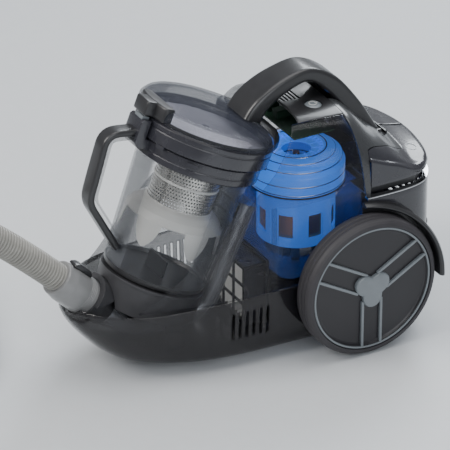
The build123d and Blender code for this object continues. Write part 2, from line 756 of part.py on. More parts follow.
def cup_wall():
    """Clear tapered wall with its air inlet at the back."""
    outer = cone(CUP, CUP_LOW_R + 0.3, CUP_TOP_R, -CUP_DEPTH + 8, COLLAR_LOW + 6)
    inner = cone(CUP, CUP_LOW_R + 0.3 - CUP_WALL, CUP_TOP_R - CUP_WALL, -CUP_DEPTH + 8, COLLAR_LOW + 6)
    core = handle_band(13, -6, 0) - cup_collar()
    return outer + core - inner - duct_port(2, 60)


def cup_base():
    """Foot of the cup with a shallow dish and a vertical fin."""
    low = -CUP_DEPTH
    rim = CUP_LOW_R + 0.3
    profile = [(0, low), (rim - 5, low), (rim - 1, low + 2), (rim, low + 5), (rim, low + 8)]
    profile += [(rim - 3, low + 8), (rim - 4, low + 4), (0, low + 3)]
    return turned(CUP, profile) + cup_block((-20, 20), (-1.5, 1.5), (low + 3, low + 24))


def cup_collar():
    """Opaque collar with the latch block that carries the handle."""
    collar = tube(CUP, COLLAR_R, CUP_TOP_R - CUP_WALL, COLLAR_LOW + 6, -RING_H - 2)
    collar += tube(CUP, COLLAR_R, CUP_TOP_R + 0.1, COLLAR_LOW, COLLAR_LOW + 6)
    nose = cup_block((-BLOCK_HALF, BLOCK_HALF), (-97, -70), (-38, -RING_H - 2))
    nose += cup_block((-BLOCK_HALF, BLOCK_HALF), (-97, -84), (-RING_H - 2, -3))
    collar += nose - rod(CUP, COLLAR_R - 4, -60, 0)
    collar -= cup_block((-9, 9), (-95, -84.5), (-12, 0))
    for turn in (80, 200, 320):
        collar += sector(CUP, 81.5, COLLAR_R, turn, 9, -33, -29)
    return collar


def cup_release_button():
    button = cup_block((-8.6, 8.6), (-94.6, -84.9), (-7.5, 0))
    return fillet(button.edges().filter_by(Axis.X), 1.2)


HANDLE_LINE = [(-92, -24.7), (-126, -33.5), (-119.5, -113), (-59, -165)]


def handle_path():
    points = [(0, y, h) for y, h in HANDLE_LINE]
    return CUP * FilletPolyline(*points, radius=[13, 24])


def handle_band(width, low, high):
    """Strap along the cup handle's line, between two depths from the line."""
    path = handle_path()
    start = Plane(
        origin=CUP.from_local_coords(Vector(0, *HANDLE_LINE[0])),
        x_dir=(1, 0, 0),
        z_dir=path % 0,
    )
    section = Pos(0, (low + high) / 2) * RectangleRounded(width, high - low, 2)
    return sweep(start * section, path=path)


def cup_handle():
    return handle_band(20, 0, 8.5) - cup_wall_solid(0.3) - cup_collar()


def cyclone_insert():
    """Mesh cylinder with a flared skirt and petals, round the inner tube for cleaned air."""
    mesh = tube(CUP, SHROUD_R, SHROUD_R - 2, SKIRT_TOP - 1, -42)
    for row in range(3):
        for i in range(10):
            slot = Rot(0, 0, 36 * i) * block((30, 50), (-7, 7), (-97 + 17.5 * row, -85 + 17.5 * row))
            mesh -= CUP * slot
    top = tube(CUP, 66, SHROUD_R - 2, -42, -40.2)
    skirt = cone(CUP, SKIRT_R, SHROUD_R, SKIRT_LOW, SKIRT_TOP)
    skirt -= cone(CUP, SKIRT_R - 2, SHROUD_R - 2, SKIRT_LOW, SKIRT_TOP)
    solid = mesh + top + skirt
    for i in range(6):
        petal = block((SKIRT_R - 2, SKIRT_R - 0.2), (-14, 14), (PETAL_LOW, SKIRT_LOW + 2))
        solid += CUP * (Rot(0, 0, 60 * i) * petal)
    pipe = cone(CUP, 14, 24, -98, -42) - cone(CUP, 12, 22, -98, -42)
    return solid + pipe + tube(CUP, SHROUD_R - 1, 22, -44, -42)


def cup_seal():
    return tube(CUP, 75, 70, -RING_H - 2, -RING_H - 0.2)


def filter_ring():
    """Twist-off ring with the grid that carries the foam filter."""
    ring = tube(CUP, RING_R, RING_BORE, -RING_H, 0)
    grid = tube(CUP, RING_BORE, RING_BORE - 5, -RING_H, -RING_H + 3) + rod(CUP, 10, -RING_H, -RING_H + 3)
    for i in range(6):
        spoke = Rot(0, 0, 60 * i) * block((8, RING_BORE - 2), (-1.5, 1.5), (-RING_H, -RING_H + 3))
        grid += CUP * spoke
    for radius in (30, 52):
        grid += tube(CUP, radius + 1.2, radius - 1.2, -RING_H, -RING_H + 3)
    ring += grid
    for turn in (50, 170, 290):
        ring += sector(CUP, RING_R, 78.2, turn, 8, -RING_H - 4, -RING_H)
    return ring


def prefilter():
    """Washable foam disc in the filter ring."""
    foam = rod(CUP, RING_BORE - 0.5, -RING_H + 3.2, -6)
    return fillet(foam.edges().filter_by(GeomType.CIRCLE), 3)


# ---- lid and carrying handle --------------------------------------------------
COVER_REAR = 52.0               # where the clear lid meets the opaque rear part


def cover_window():
    """Clear domed lid over the foam filter."""
    outer = rod(CUP, COVER_R, 1.2, COVER_H)
    inner = rod(CUP, COVER_R - 2.5, 0, COVER_H - 2.5)
    lid = outer - inner
    lid -= cup_block((-200, 200), (COVER_REAR, 200), (-10, 60))
    return lid - cup_block((-31, 31), (-100, -68), (-10, 60))


def top_cover():
    """Opaque parts of the lid: the peak with the catch, and the rear under the handle."""
    nose = rod(CUP, COVER_R, 1.2, COVER_H + 2) & cup_block((-30.5, 30.5), (-100, -68.4), (-10, 60))
    nose -= rod(CUP, COVER_R - 3, 0, COVER_H - 1) & cup_block((-28, 28), (-100, -60), (-10, 60))
    outer = rod(CUP, COVER_R, 1.2, COVER_H)
    nose = nose + cup_block((-14, 14), (-97, -80), (1.5, COVER_H + 2)) - lid_seal()
    inner = rod(CUP, COVER_R - 3, 0, COVER_H - 3)
    rear = (outer - inner) & cup_block((-200, 200), (COVER_REAR + 0.4, 200), (-10, 60))
    return group(nose, rear & block((-100, 100), (-300, 30), (0, 400)))


def lid_seal():
    return tube(CUP, 79.6, 76.6, 0.4, 3.2)


HANDLE_OUTER = [(-14, 296), (8, 309), (44, 327), (80, 331), (116, 313), (148, 274), (177.4, 228.8)]
HANDLE_INNER = [(156.6, 213.2), (136, 250), (108, 286), (80, 312), (46, 310), (20, 296)]
HANDLE_INNER += [(6, 282), (-14, 282)]


def carry_handle():
    """Wide arched strap from the lid to its hinge."""
    half = HANDLE_W / 2
    strap = side_prism(HANDLE_OUTER + HANDLE_INNER, -half, half)
    strap = strap + rod(HINGE_AXIS, DRUM_R, -half, half)
    strap -= rod(HINGE_AXIS, HINGE_R + RUNNING, -50, 50)
    return strap - rod(CUP, COVER_R + 1, -60, COVER_H + 0.2)


# ---- hose ---------------------------------------------------------------------
def hose_radii():
    """Each corner's radius, from the runs beside it and its turn."""
    points = [Vector(*p) for p in HOSE_ROUTE]
    radii = []
    for before, corner, after in zip(points, points[1:], points[2:]):
        run_in = corner - before
        run_out = after - corner
        half_turn = math.radians(run_in.get_angle(run_out)) / 2
        radii.append(0.45 * min(run_in.length, run_out.length) / math.tan(half_turn))
    return radii


def hose_path():
    return FilletPolyline(*HOSE_ROUTE, radius=hose_radii())


def hose_tube():
    path = hose_path()
    plane = Plane(origin=HOSE_ROUTE[0], x_dir=(1, 0, 0), z_dir=HOSE_OUT)
    section = plane * (Circle(HOSE_R) - Circle(HOSE_R - HOSE_WALL))
    tube_solid = sweep(section, path=path)
    area = math.pi * (HOSE_R**2 - (HOSE_R - HOSE_WALL)**2)
    print("hose radii", [round(r) for r in hose_radii()])
    print("hose length", round(path.length, 1), "volume ratio", tube_solid.volume / (area * path.length))
    return tube_solid


def hose_cuff():
    """Rigid end that plugs into the inlet."""
    grip = tube(INLET_PLANE, CUFF_R, HOSE_R - HOSE_WALL, 1, CUFF_LENGTH)
    entry = tube(INLET_PLANE, CUFF_R, HOSE_R - HOSE_WALL, -11.5, 1)
    spigot = tube(INLET_PLANE, SPIGOT_R, HOSE_R - HOSE_WALL, -SPIGOT_LENGTH, -11.5)
    cuff = grip + entry + spigot
    notch = INLET_PLANE * block((-8, 8), (20, 30), (14, 44))
    return cuff - notch


def cuff_latch():
    """Sprung catch on top of the cuff."""
    latch = INLET_PLANE * block((-7.4, 7.4), (22.2, 29), (14.6, 43.4))
    return latch


# ---- wand handle at the hose's far end -----------------------------------------
def end_plane():
    last = Vector(*HOSE_ROUTE[-1])
    along = (last - Vector(*HOSE_ROUTE[-2])).normalized()
    return Plane(origin=last, x_dir=Vector(0, 0, 1).cross(along), z_dir=along)


END = end_plane()
END_CUFF = 32.0
HANDLE_TUBE_R = 18.0
HANDLE_BEND = [(0, 0, END_CUFF), (0, 0, 118), (-34, 0, 218)]
WAND_SPIGOT = 40.0


def bend_end_plane():
    tip = Vector(*HANDLE_BEND[2])
    along = (tip - Vector(*HANDLE_BEND[1])).normalized()
    local = Plane(origin=tip, x_dir=Vector(0, 1, 0).cross(along), z_dir=along)
    return Plane(END.location * local.location)


TIP = bend_end_plane()


def wand_handle():
    """Hose socket, bent tube with an air bleed hole, soft grip and the spigot for a wand."""
    socket = tube(END, 21, HOSE_R - HOSE_WALL, 0, END_CUFF)
    path = END * FilletPolyline(*HANDLE_BEND, radius=70)
    section = Circle(HANDLE_TUBE_R) - Circle(HANDLE_TUBE_R - 2)
    handle = sweep(END.offset(END_CUFF) * section, path=path)
    handle += tube(TIP, SPIGOT_R, SPIGOT_R - 2, 0, WAND_SPIGOT)
    handle += socket + turned(TIP, [(17, -66), (18, -66), (20.5, -60), (20.5, -6), (18, -1), (17, -1)])
    for i in range(8):
        handle -= tube(TIP, 21, 19.7, -56 + 6 * i, -53.6 + 6 * i)
    for i in range(5):
        handle -= tube(END, 22, 20.2, 5 + 5 * i, 7 + 5 * i)
    return handle - END * block((-5, 5), (0, 30), (52, 62))


def bleed_slider():
    """Sliding shutter over the air bleed hole."""
    ring = tube(END, 20.6, HANDLE_TUBE_R + 0.1, 46, 68)
    knob = END * block((-6, 6), (20, 22.5), (54, 60))
    return ring + knob


# ---- whole object ---------------------------------------------------------------
PIECES = [
    lower_chassis, chassis_screws, control_panel, power_button, circuit_board,
    rear_cover, pivot_pins, rear_body, rear_trim, pedal_bed, pedal_springs, fenders, wheel_axles,
    caster_fork, caster_wheel,
    inlet_duct, rubber_seals, inlet_collar, cup_seat, hepa_frame, hepa_pleats, exhaust_duct,
    motor_chamber, motor_mounts, fan_housing, motor_casing, motor_stator, motor_rotor, motor_fan,
    motor_bearings, cord_reel, reel_bracket,
    cup_wall, cup_base, cup_collar, cup_release_button, cup_handle, cyclone_insert, cup_seal,
    filter_ring, prefilter, cover_window, top_cover, lid_seal, carry_handle,
    hose_tube, hose_cuff, cuff_latch, wand_handle, bleed_slider,
]
SIDED_PIECES = [side_shell, pedal]          # built for one side, +1 is the left, +X
MIRRORED_PIECES = [tyre, wheel_disc, wheel_trim]


def main():
    os.makedirs("parts", exist_ok=True)
    for build in PIECES:
        save(build.__name__, build())
    for build in SIDED_PIECES:
        save(f"left_{build.__name__}", build(1))
        save(f"right_{build.__name__}", build(-1))
    for build in MIRRORED_PIECES:
        shape = build()
        save(f"left_{build.__name__}", shape)
        save(f"right_{build.__name__}", mirror_x(shape))


if __name__ == "__main__":
    main()
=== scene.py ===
import math
import bmesh
import bpy
import numpy as np
from mathutils import Matrix, Vector


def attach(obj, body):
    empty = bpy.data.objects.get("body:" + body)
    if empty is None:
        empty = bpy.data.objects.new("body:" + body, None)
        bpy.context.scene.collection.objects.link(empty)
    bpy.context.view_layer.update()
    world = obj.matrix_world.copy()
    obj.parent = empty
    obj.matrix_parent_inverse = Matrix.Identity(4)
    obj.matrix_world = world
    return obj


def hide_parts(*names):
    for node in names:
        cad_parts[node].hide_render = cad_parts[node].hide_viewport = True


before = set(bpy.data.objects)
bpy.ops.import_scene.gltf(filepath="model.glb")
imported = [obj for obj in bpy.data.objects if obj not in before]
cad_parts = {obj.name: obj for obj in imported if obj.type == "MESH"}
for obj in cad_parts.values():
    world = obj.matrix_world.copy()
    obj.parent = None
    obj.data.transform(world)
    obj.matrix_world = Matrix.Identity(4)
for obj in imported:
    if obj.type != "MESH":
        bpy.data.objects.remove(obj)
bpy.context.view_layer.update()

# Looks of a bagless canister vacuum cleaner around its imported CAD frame.
# Shapes are worked out in millimetres and scaled to metres when a piece is made.
MM = 0.001
scene = bpy.context.scene


# ---- camera ----------------------------------------------------------------
TARGET = Vector((0.0, -0.020, 0.141))
AZIMUTH = math.radians(61.0)
ELEVATION = math.radians(29.0)
DISTANCE = 4.412


def make_camera():
    data = bpy.data.cameras.new("camera")
    data.lens = 300
    data.sensor_width = 36
    camera = bpy.data.objects.new("camera", data)
    level = math.cos(ELEVATION)
    back = Vector((math.sin(AZIMUTH) * level, -math.cos(AZIMUTH) * level, math.sin(ELEVATION)))
    camera.location = TARGET + back * DISTANCE
    camera.rotation_euler = back.to_track_quat("Z", "Y").to_euler()
    scene.collection.objects.link(camera)
    scene.camera = camera


make_camera()


# ---- frames of the machine -------------------------------------------------
def frame_at(origin, z_axis, x_axis):
    """Matrix of a local frame, in millimetres."""
    z = Vector(z_axis).normalized()
    x = Vector(x_axis).normalized()
    y = z.cross(x)
    matrix = Matrix((x, y, z)).transposed().to_4x4()
    matrix.translation = Vector(origin)
    return matrix


TILT = math.radians(22)
CUP = frame_at((0, -44, 282), (0, math.sin(TILT), math.cos(TILT)), (1, 0, 0))
CUFF = frame_at((0, -206.8, 96.8), (0, -1, 1), (1, 0, 0))
MOTOR = frame_at((0, 76, 0), (0, 0, 1), (1, 0, 0))
WHEEL_Y = 103
WHEEL_Z = 88
HINGE_Y = 167
HINGE_Z = 221
LEFT_WHEEL = frame_at((0, WHEEL_Y, WHEEL_Z), (1, 0, 0), (0, 1, 0))
HINGE = frame_at((0, HINGE_Y, HINGE_Z), (1, 0, 0), (0, 1, 0))
MIRROR = Matrix.Scale(-1, 4, (1, 0, 0))
BOTH_SIDES = (("left", Matrix()), ("right", MIRROR))


# ---- shapes: a shape is (points, faces) in millimetres ---------------------
def skin(rows, wrap=True, loop=False, caps=True):
    """Quads between rows of points; wrap closes each row, loop joins the last row to the first."""
    count = len(rows[0])
    points = [Vector(p) for row in rows for p in row]
    faces = []
    last = len(rows) if loop else len(rows) - 1
    across = count if wrap else count - 1
    for i in range(last):
        for j in range(across):
            a = i * count + j
            b = i * count + (j + 1) % count
            c = ((i + 1) % len(rows)) * count
            faces.append((a, b, c + (j + 1) % count, c + j))
    if caps and wrap and not loop:
        faces.append(tuple(range(count))[::-1])
        faces.append(tuple((len(rows) - 1) * count + j for j in range(count)))
    return points, faces


def join(*shapes):
    points = []
    faces = []
    for shape_points, shape_faces in shapes:
        base = len(points)
        points += shape_points
        faces += [tuple(base + i for i in face) for face in shape_faces]
    return points, faces


def moved(shape, matrix):
    return [matrix @ Vector(p) for p in shape[0]], shape[1]


def rounded(corners, radius, steps=4):
    """Closed outline with every corner rounded; a corner may carry its own radius."""
    out = []
    for i, corner in enumerate(corners):
        own = corner[2] if len(corner) > 2 else radius
        before = Vector(corners[i - 1][:2])
        here = Vector(corner[:2])
        after = Vector(corners[(i + 1) % len(corners)][:2])
        back = before - here
        ahead = after - here
        half = max(back.angle(ahead) / 2, 0.05)
        cut = min(own / math.tan(half), 0.48 * back.length, 0.48 * ahead.length)
        if cut < 0.02:
            out.append(here)
            continue
        start = here + back.normalized() * cut
        end = here + ahead.normalized() * cut
        for k in range(steps + 1):
            t = k / steps
            out.append(start * (1 - t) ** 2 + here * 2 * t * (1 - t) + end * t * t)
    return out


def lathe(profile, radius=0.0, steps=96):
    """Closed (radius, height) outline turned about the local Z axis."""
    outline = rounded(profile, radius) if radius else [Vector(p[:2]) for p in profile]
    rows = []
    for i in range(steps):
        angle = 2 * math.pi * i / steps
        rows.append([(p.x * math.cos(angle), p.x * math.sin(angle), p.y) for p in outline])
    return skin(rows, loop=True)


def band(inner, outer, low, high, edge, steps):
    """Ring of rectangular section about the local Z axis."""
    return lathe([(inner, low), (outer, low), (outer, high), (inner, high)], edge, steps)


def box(x, y, z):
    rows = [[(x[0], y[0], h), (x[1], y[0], h), (x[1], y[1], h), (x[0], y[1], h)] for h in z]
    return skin(rows)


def prism(outline, low, high):
    """Outline in the local X-Y plane, extruded along Z."""
    return skin([[(p[0], p[1], h) for p in outline] for h in (low, high)])


def side_prism(outline, low, high):
    """Outline given as (Y, Z), extruded along X."""
    return skin([[(x, p[0], p[1]) for p in outline] for x in (low, high)])


def spin(shape, angle):
    return moved(shape, Matrix.Rotation(math.radians(angle), 4, "Z"))


def catmull(points, per=8, closed=False):
    """Smooth line through points."""
    nodes = [Vector(p) for p in points]
    count = len(nodes)
    out = []
    for i in range(count if closed else count - 1):
        b = nodes[i]
        c = nodes[(i + 1) % count]
        a = nodes[i - 1] if closed or i > 0 else b * 2 - c
        d = nodes[(i + 2) % count] if closed or i + 2 < count else c * 2 - b
        t1 = math.sqrt((b - a).length)
        t2 = t1 + math.sqrt((c - b).length)
        t3 = t2 + math.sqrt((d - c).length)
        for k in range(per):
            t = t1 + (t2 - t1) * k / per
            ab = a * ((t1 - t) / t1) + b * (t / t1)
            bc = b * ((t2 - t) / (t2 - t1)) + c * ((t - t1) / (t2 - t1))
            cd = c * ((t3 - t) / (t3 - t2)) + d * ((t - t2) / (t3 - t2))
            abc = ab * ((t2 - t) / t2) + bc * (t / t2)
            bcd = bc * ((t3 - t) / (t3 - t1)) + cd * ((t - t1) / (t3 - t1))
            out.append(abc * ((t2 - t) / (t2 - t1)) + bcd * ((t - t1) / (t2 - t1)))
    if not closed:
        out.append(nodes[-1])
    return out


def even(points, count):
    """The same line with evenly spaced points."""
    nodes = [Vector(p) for p in points]
    reach = [0.0]
    for a, b in zip(nodes, nodes[1:]):
        reach.append(reach[-1] + (b - a).length)
    out = []
    i = 0
    for k in range(count):
        goal = reach[-1] * k / (count - 1)
        while i < len(nodes) - 2 and reach[i + 1] < goal:
            i += 1
        span = max(reach[i + 1] - reach[i], 1e-9)
        out.append(nodes[i].lerp(nodes[i + 1], min(1.0, (goal - reach[i]) / span)))
    return out


def length_of(points):
    return sum((b - a).length for a, b in zip(points, points[1:]))


def sweep(points, section, first_side=(1, 0, 0)):
    """Sections carried along a line; section(share) gives (side, up) points."""
    nodes = [Vector(p) for p in points]
    side = Vector(first_side)
    rows = []
    last = len(nodes) - 1
    for i, node in enumerate(nodes):
        along = (nodes[min(i + 1, last)] - nodes[max(i - 1, 0)]).normalized()
        side = (side - along * side.dot(along)).normalized()
        up = along.cross(side)
        rows.append([node + side * p[0] + up * p[1] for p in section(i / last)])
    return skin(rows)


def circle(radius, count=24):
    return [Vector((radius * math.cos(2 * math.pi * i / count), radius * math.sin(2 * math.pi * i / count)))
            for i in range(count)]


def rounded_box(width, depth, radius, steps=3):
    w = width / 2
    d = depth / 2
    return rounded([(-w, -d), (w, -d), (w, d), (-w, d)], radius, steps)


# ---- pieces ----------------------------------------------------------------
def settle(ob):
    """Make the modifiers' result the piece's own mesh."""
    bpy.context.view_layer.update()
    graph = bpy.context.evaluated_depsgraph_get()
    mesh = bpy.data.meshes.new_from_object(ob.evaluated_get(graph))
    ob.modifiers.clear()
    ob.data = mesh


def loose_object(name, shape, place=Matrix()):
    mesh = bpy.data.meshes.new(name)
    mesh.from_pydata([(place @ Vector(p)) * MM for p in shape[0]], [], shape[1])
    ob = bpy.data.objects.new(name, mesh)
    scene.collection.objects.link(ob)
    bm = bmesh.new()
    bm.from_mesh(mesh)
    bmesh.ops.remove_doubles(bm, verts=bm.verts, dist=1e-6)
    bmesh.ops.dissolve_degenerate(bm, edges=bm.edges, dist=1e-7)
    bmesh.ops.recalc_face_normals(bm, faces=bm.faces)
    bm.to_mesh(mesh)
    bm.free()
    return ob


def face_away(ob, core):
    """Turn an open sheet's faces away from a core point given in millimetres."""
    core = Vector(core) * MM
    total = sum((f.center - core).dot(f.normal) * f.area for f in ob.data.polygons)
    if total < 0:
        ob.data.flip_normals()


def piece(name, shape, material, body, nodes=(), place=Matrix(), angle=35, thick=0.0,
          core=(0, 60, 120), cut=None, bevel=0.0, segments=2):
    ob = loose_object(name, shape, place)
    if thick:
        face_away(ob, core)
        solid = ob.modifiers.new("wall", "SOLIDIFY")
        solid.thickness = thick * MM
        solid.offset = -1
        solid.use_even_offset = False
        settle(ob)
    if cut:
        tool = loose_object(name + "_cut", cut)
        hole = ob.modifiers.new("cut", "BOOLEAN")
        hole.operation = "DIFFERENCE"
        hole.solver = "EXACT"
        hole.use_self = True
        hole.object = tool
        settle(ob)
        bpy.data.objects.remove(tool)
    if bevel:
        edge = ob.modifiers.new("edge", "BEVEL")
        edge.width = bevel * MM
        edge.segments = segments
        edge.limit_method = "ANGLE"
        edge.angle_limit = math.radians(angle)
        settle(ob)
    ob.data.shade_smooth()
    ob.data.set_sharp_from_angle(angle=math.radians(angle))
    ob.data.materials.clear()
    ob.data.materials.append(material)
    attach(ob, body)
    if nodes:
        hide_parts(*nodes)
    return ob


# ---- materials -------------------------------------------------------------
def socket(shader, name, value):
    shader.inputs[name].default_value = value


def material(name, color, rough=0.4, metal=0.0, alpha=1.0, spread=0.06, scale=60.0, bump=0.04,
             fine=900.0, coat=0.0, rim=0.0, edge=0.0, pattern=None, painted_glow=0.0, specular=0.5):
    """Procedural material: uneven colour and roughness, a moulded grain and rounded edges; painted_glow
    makes the surface emit its own colour as painted light.
    """
    mat = bpy.data.materials.new(name)
    mat.use_nodes = True
    nodes = mat.node_tree.nodes
    links = mat.node_tree.links
    shader = nodes["Principled BSDF"]
    place = nodes.new("ShaderNodeTexCoord")
    cloud = nodes.new("ShaderNodeTexNoise")
    cloud.inputs["Scale"].default_value = scale
    cloud.inputs["Detail"].default_value = 5
    links.new(place.outputs["Object"], cloud.inputs["Vector"])
    tone = nodes.new("ShaderNodeValToRGB")
    low = [max(0.0, c * (1 - spread)) for c in color]
    high = [min(1.0, c * (1 + spread)) for c in color]
    tone.color_ramp.elements[0].position = 0.3
    tone.color_ramp.elements[0].color = (*low, 1)
    tone.color_ramp.elements[1].position = 0.7
    tone.color_ramp.elements[1].color = (*high, 1)
    links.new(cloud.outputs["Fac"], tone.inputs["Fac"])
    links.new(tone.outputs["Color"], shader.inputs["Base Color"])
    sheen = nodes.new("ShaderNodeMapRange")
    sheen.inputs["To Min"].default_value = max(0.02, rough - 0.07)
    sheen.inputs["To Max"].default_value = min(1.0, rough + 0.07)
    links.new(cloud.outputs["Fac"], sheen.inputs["Value"])
    links.new(sheen.outputs["Result"], shader.inputs["Roughness"])
    socket(shader, "Metallic", metal)
    socket(shader, "Coat Weight", coat)
    socket(shader, "Coat Roughness", 0.08)
    socket(shader, "Specular IOR Level", specular)
    grain = nodes.new("ShaderNodeTexNoise")
    grain.inputs["Scale"].default_value = fine
    grain.inputs["Detail"].default_value = 3
    links.new(place.outputs["Object"], grain.inputs["Vector"])
    relief = nodes.new("ShaderNodeBump")
    relief.inputs["Strength"].default_value = bump
    relief.inputs["Distance"].default_value = 0.0006
    links.new(grain.outputs["Fac"], relief.inputs["Height"])
    if pattern:
        pattern(nodes, links, place, relief, shader, tone)
    if edge:
        soft = nodes.new("ShaderNodeBevel")
        soft.inputs["Radius"].default_value = edge * MM
        soft.samples = 4
        links.new(soft.outputs["Normal"], relief.inputs["Normal"])
    links.new(relief.outputs["Normal"], shader.inputs["Normal"])
    if rim:
        grazing = nodes.new("ShaderNodeFresnel")
        grazing.inputs["IOR"].default_value = 1.45
        ramp = nodes.new("ShaderNodeMapRange")
        ramp.inputs["From Min"].default_value = 0.03
        ramp.inputs["From Max"].default_value = 0.6
        ramp.inputs["To Min"].default_value = alpha
        ramp.inputs["To Max"].default_value = min(1.0, alpha + rim)
        links.new(grazing.outputs["Fac"], ramp.inputs["Value"])
        links.new(ramp.outputs["Result"], shader.inputs["Alpha"])
    else:
        socket(shader, "Alpha", alpha)
    # painted light: the surface emits its own colour, though the part is no lamp
    if painted_glow:
        socket(shader, "Emission Color", (*color, 1))
        socket(shader, "Emission Strength", painted_glow)
    return mat


def pores(scale):
    """Open cells of foam, with painted shade darkening their depths."""
    def build(nodes, links, place, relief, shader, tone):
        cells = nodes.new("ShaderNodeTexVoronoi")
        cells.inputs["Scale"].default_value = scale
        links.new(place.outputs["Object"], cells.inputs["Vector"])
        # painted shade: colour multiplied darker towards each cell's centre, where the pits are, standing in
        # for shadow in the pores
        shade = nodes.new("ShaderNodeMapRange")
        shade.inputs["From Max"].default_value = 0.75
        shade.inputs["To Min"].default_value = 0.62
        shade.inputs["To Max"].default_value = 1.0
        links.new(cells.outputs["Distance"], shade.inputs["Value"])
        mix = nodes.new("ShaderNodeMix")
        mix.data_type = "RGBA"
        mix.blend_type = "MULTIPLY"
        mix.inputs["Factor"].default_value = 1.0
        links.new(tone.outputs["Color"], mix.inputs["A"])
        links.new(shade.outputs["Result"], mix.inputs["B"])
        links.new(mix.outputs["Result"], shader.inputs["Base Color"])
        links.new(cells.outputs["Distance"], relief.inputs["Height"])
    return build


def pcb(nodes, links, place, relief, shader, tone):
    """Tracks under a dark solder mask."""
    tracks = nodes.new("ShaderNodeTexBrick")
    tracks.inputs["Scale"].default_value = 90
    tracks.inputs["Color1"].default_value = (0.008, 0.024, 0.015, 1)
    tracks.inputs["Color2"].default_value = (0.006, 0.018, 0.012, 1)
    tracks.inputs["Mortar"].default_value = (0.025, 0.075, 0.040, 1)
    tracks.inputs["Mortar Size"].default_value = 0.02
    links.new(place.outputs["Object"], tracks.inputs["Vector"])
    links.new(tracks.outputs["Color"], shader.inputs["Base Color"])


SMOKED = material("smoked_shell", (0.030, 0.030, 0.036), rough=0.10, alpha=0.15, rim=0.42, coat=0.3,
                  bump=0.0)
HULL = material("smoked_hull", (0.020, 0.019, 0.022), rough=0.12, alpha=0.44, rim=0.34, coat=0.4, bump=0.0)
SATIN = material("dark_satin", (0.018, 0.018, 0.020), rough=0.34, bump=0.05, coat=0.25)
GREY = material("grey_gloss", (0.034, 0.036, 0.039), rough=0.28, bump=0.03, coat=0.4)
GRAPHITE = material("graphite", (0.024, 0.024, 0.031), rough=0.26, bump=0.02, coat=0.5)
CLEAR = material("clear_plastic", (0.16, 0.17, 0.19), rough=0.05, alpha=0.08, rim=0.42,
                 spread=0.02, bump=0.0)
LID = material("clear_lid", (0.050, 0.055, 0.075), rough=0.05, alpha=0.12, rim=0.5, spread=0.02,
               bump=0.0, specular=0.22)
CHROME = material("bright_trim", (0.62, 0.63, 0.65), rough=0.12, metal=1.0, spread=0.03, bump=0.01)
STEEL = material("steel", (0.50, 0.50, 0.50), rough=0.32, metal=1.0, bump=0.06, fine=2400, edge=0.4)
RUBBER = material("rubber", (0.018, 0.018, 0.018), rough=0.72, bump=0.12, edge=0.4)
TYRE = material("tyre", (0.029, 0.027, 0.031), rough=0.58, bump=0.12, fine=1100, spread=0.10)
PANEL = material("wheel_panel", (0.009, 0.008, 0.011), rough=0.40, bump=0.05, coat=0.15)
ACCENT = material("accent_grey", (0.165, 0.185, 0.200), rough=0.30, bump=0.03, coat=0.35)
# painted glow: the blue motor casing emits light as if lit from inside, though it is no lamp
BLUE = material("motor_blue", (0.040, 0.20, 0.78), rough=0.24, bump=0.03, coat=0.5, painted_glow=0.75, edge=0.5)
# painted glow: the blue chamber emits a faint light, though it is no lamp
CHAMBER = material("motor_chamber", (0.10, 0.28, 0.85), rough=0.14, alpha=0.06, rim=0.22,
                   bump=0.0, painted_glow=0.05)
COPPER = material("copper", (0.55, 0.24, 0.10), rough=0.34, metal=0.9, bump=0.30, fine=2600, edge=0.3)
BOARD = material("board", (0.010, 0.030, 0.020), rough=0.40, pattern=pcb, edge=0.3)
FOAM = material("foam", (0.62, 0.62, 0.72), rough=0.92, bump=0.9, pattern=pores(420), spread=0.05)
# painted glow: the pleated filter paper emits light to look brighter, though it is no lamp
PAPER = material("paper", (0.86, 0.86, 0.84), rough=0.88, bump=0.25, fine=1800, painted_glow=0.12)
DUCT = material("duct_silver", (0.40, 0.41, 0.44), rough=0.20, metal=0.5, alpha=0.40, rim=0.4, bump=0.0)
HOSE = material("hose_plastic", (0.29, 0.28, 0.255), rough=0.32, bump=0.05, coat=0.2, spread=0.10)
CUFF_GREY = material("cuff_grey", (0.22, 0.22, 0.22), rough=0.30, bump=0.05, coat=0.3)
WHITE = material("white_plastic", (0.66, 0.66, 0.64), rough=0.20, bump=0.03, coat=0.5, spread=0.04)
MESH = material("shroud_mesh", (0.60, 0.59, 0.56), rough=0.22, metal=0.85, bump=0.03)
DARK_IN = material("dark_plastic", (0.040, 0.040, 0.044), rough=0.40, bump=0.05, edge=0.6)


# ---- the hose, along its route ---------------------------------------------
HOSE_R = 17.0
FLOOR_Z = 0.0175
HOSE_ROUTE = [
    (0.0, -0.242155, 0.132155), (0.0, -0.3, 0.19), (0.005, -0.385, 0.256),
    (0.024, -0.474, 0.3), (0.004, -0.56, 0.317), (-0.053, -0.628, 0.315),
    (-0.135, -0.661, 0.296), (-0.223, -0.653, 0.266), (-0.298, -0.605, 0.229),
    (-0.342, -0.529, 0.187), (-0.346, -0.44, 0.143), (-0.309, -0.36, 0.099),
    (-0.239, -0.306, 0.059), (-0.152, -0.29, 0.026), (-0.067, -0.316, FLOOR_Z),
    (-0.004, -0.378, 0.0178), (0.023, -0.459, 0.0218),
]
RIB_PITCH = 4.6
RIB_SHAPE = (0.0, 0.0, 0.35, 1.9, 1.9, 0.35)      # depth below the crest over one rib


def hose_line():
    """Points read from the route's smooth spline, in millimetres."""
    curve = bpy.data.curves.new("hose_route", "CURVE")
    curve.dimensions = "3D"
    curve.resolution_u = 40
    spline = curve.splines.new("NURBS")
    spline.points.add(len(HOSE_ROUTE) - 1)
    for point, place in zip(spline.points, HOSE_ROUTE):
        point.co = (*place, 1)
    spline.order_u = 3
    spline.use_endpoint_u = True
    ob = bpy.data.objects.new("hose_route", curve)
    scene.collection.objects.link(ob)
    mesh = bpy.data.meshes.new_from_object(ob)
    points = [v.co / MM for v in mesh.vertices]
    bpy.data.objects.remove(ob)
    return points


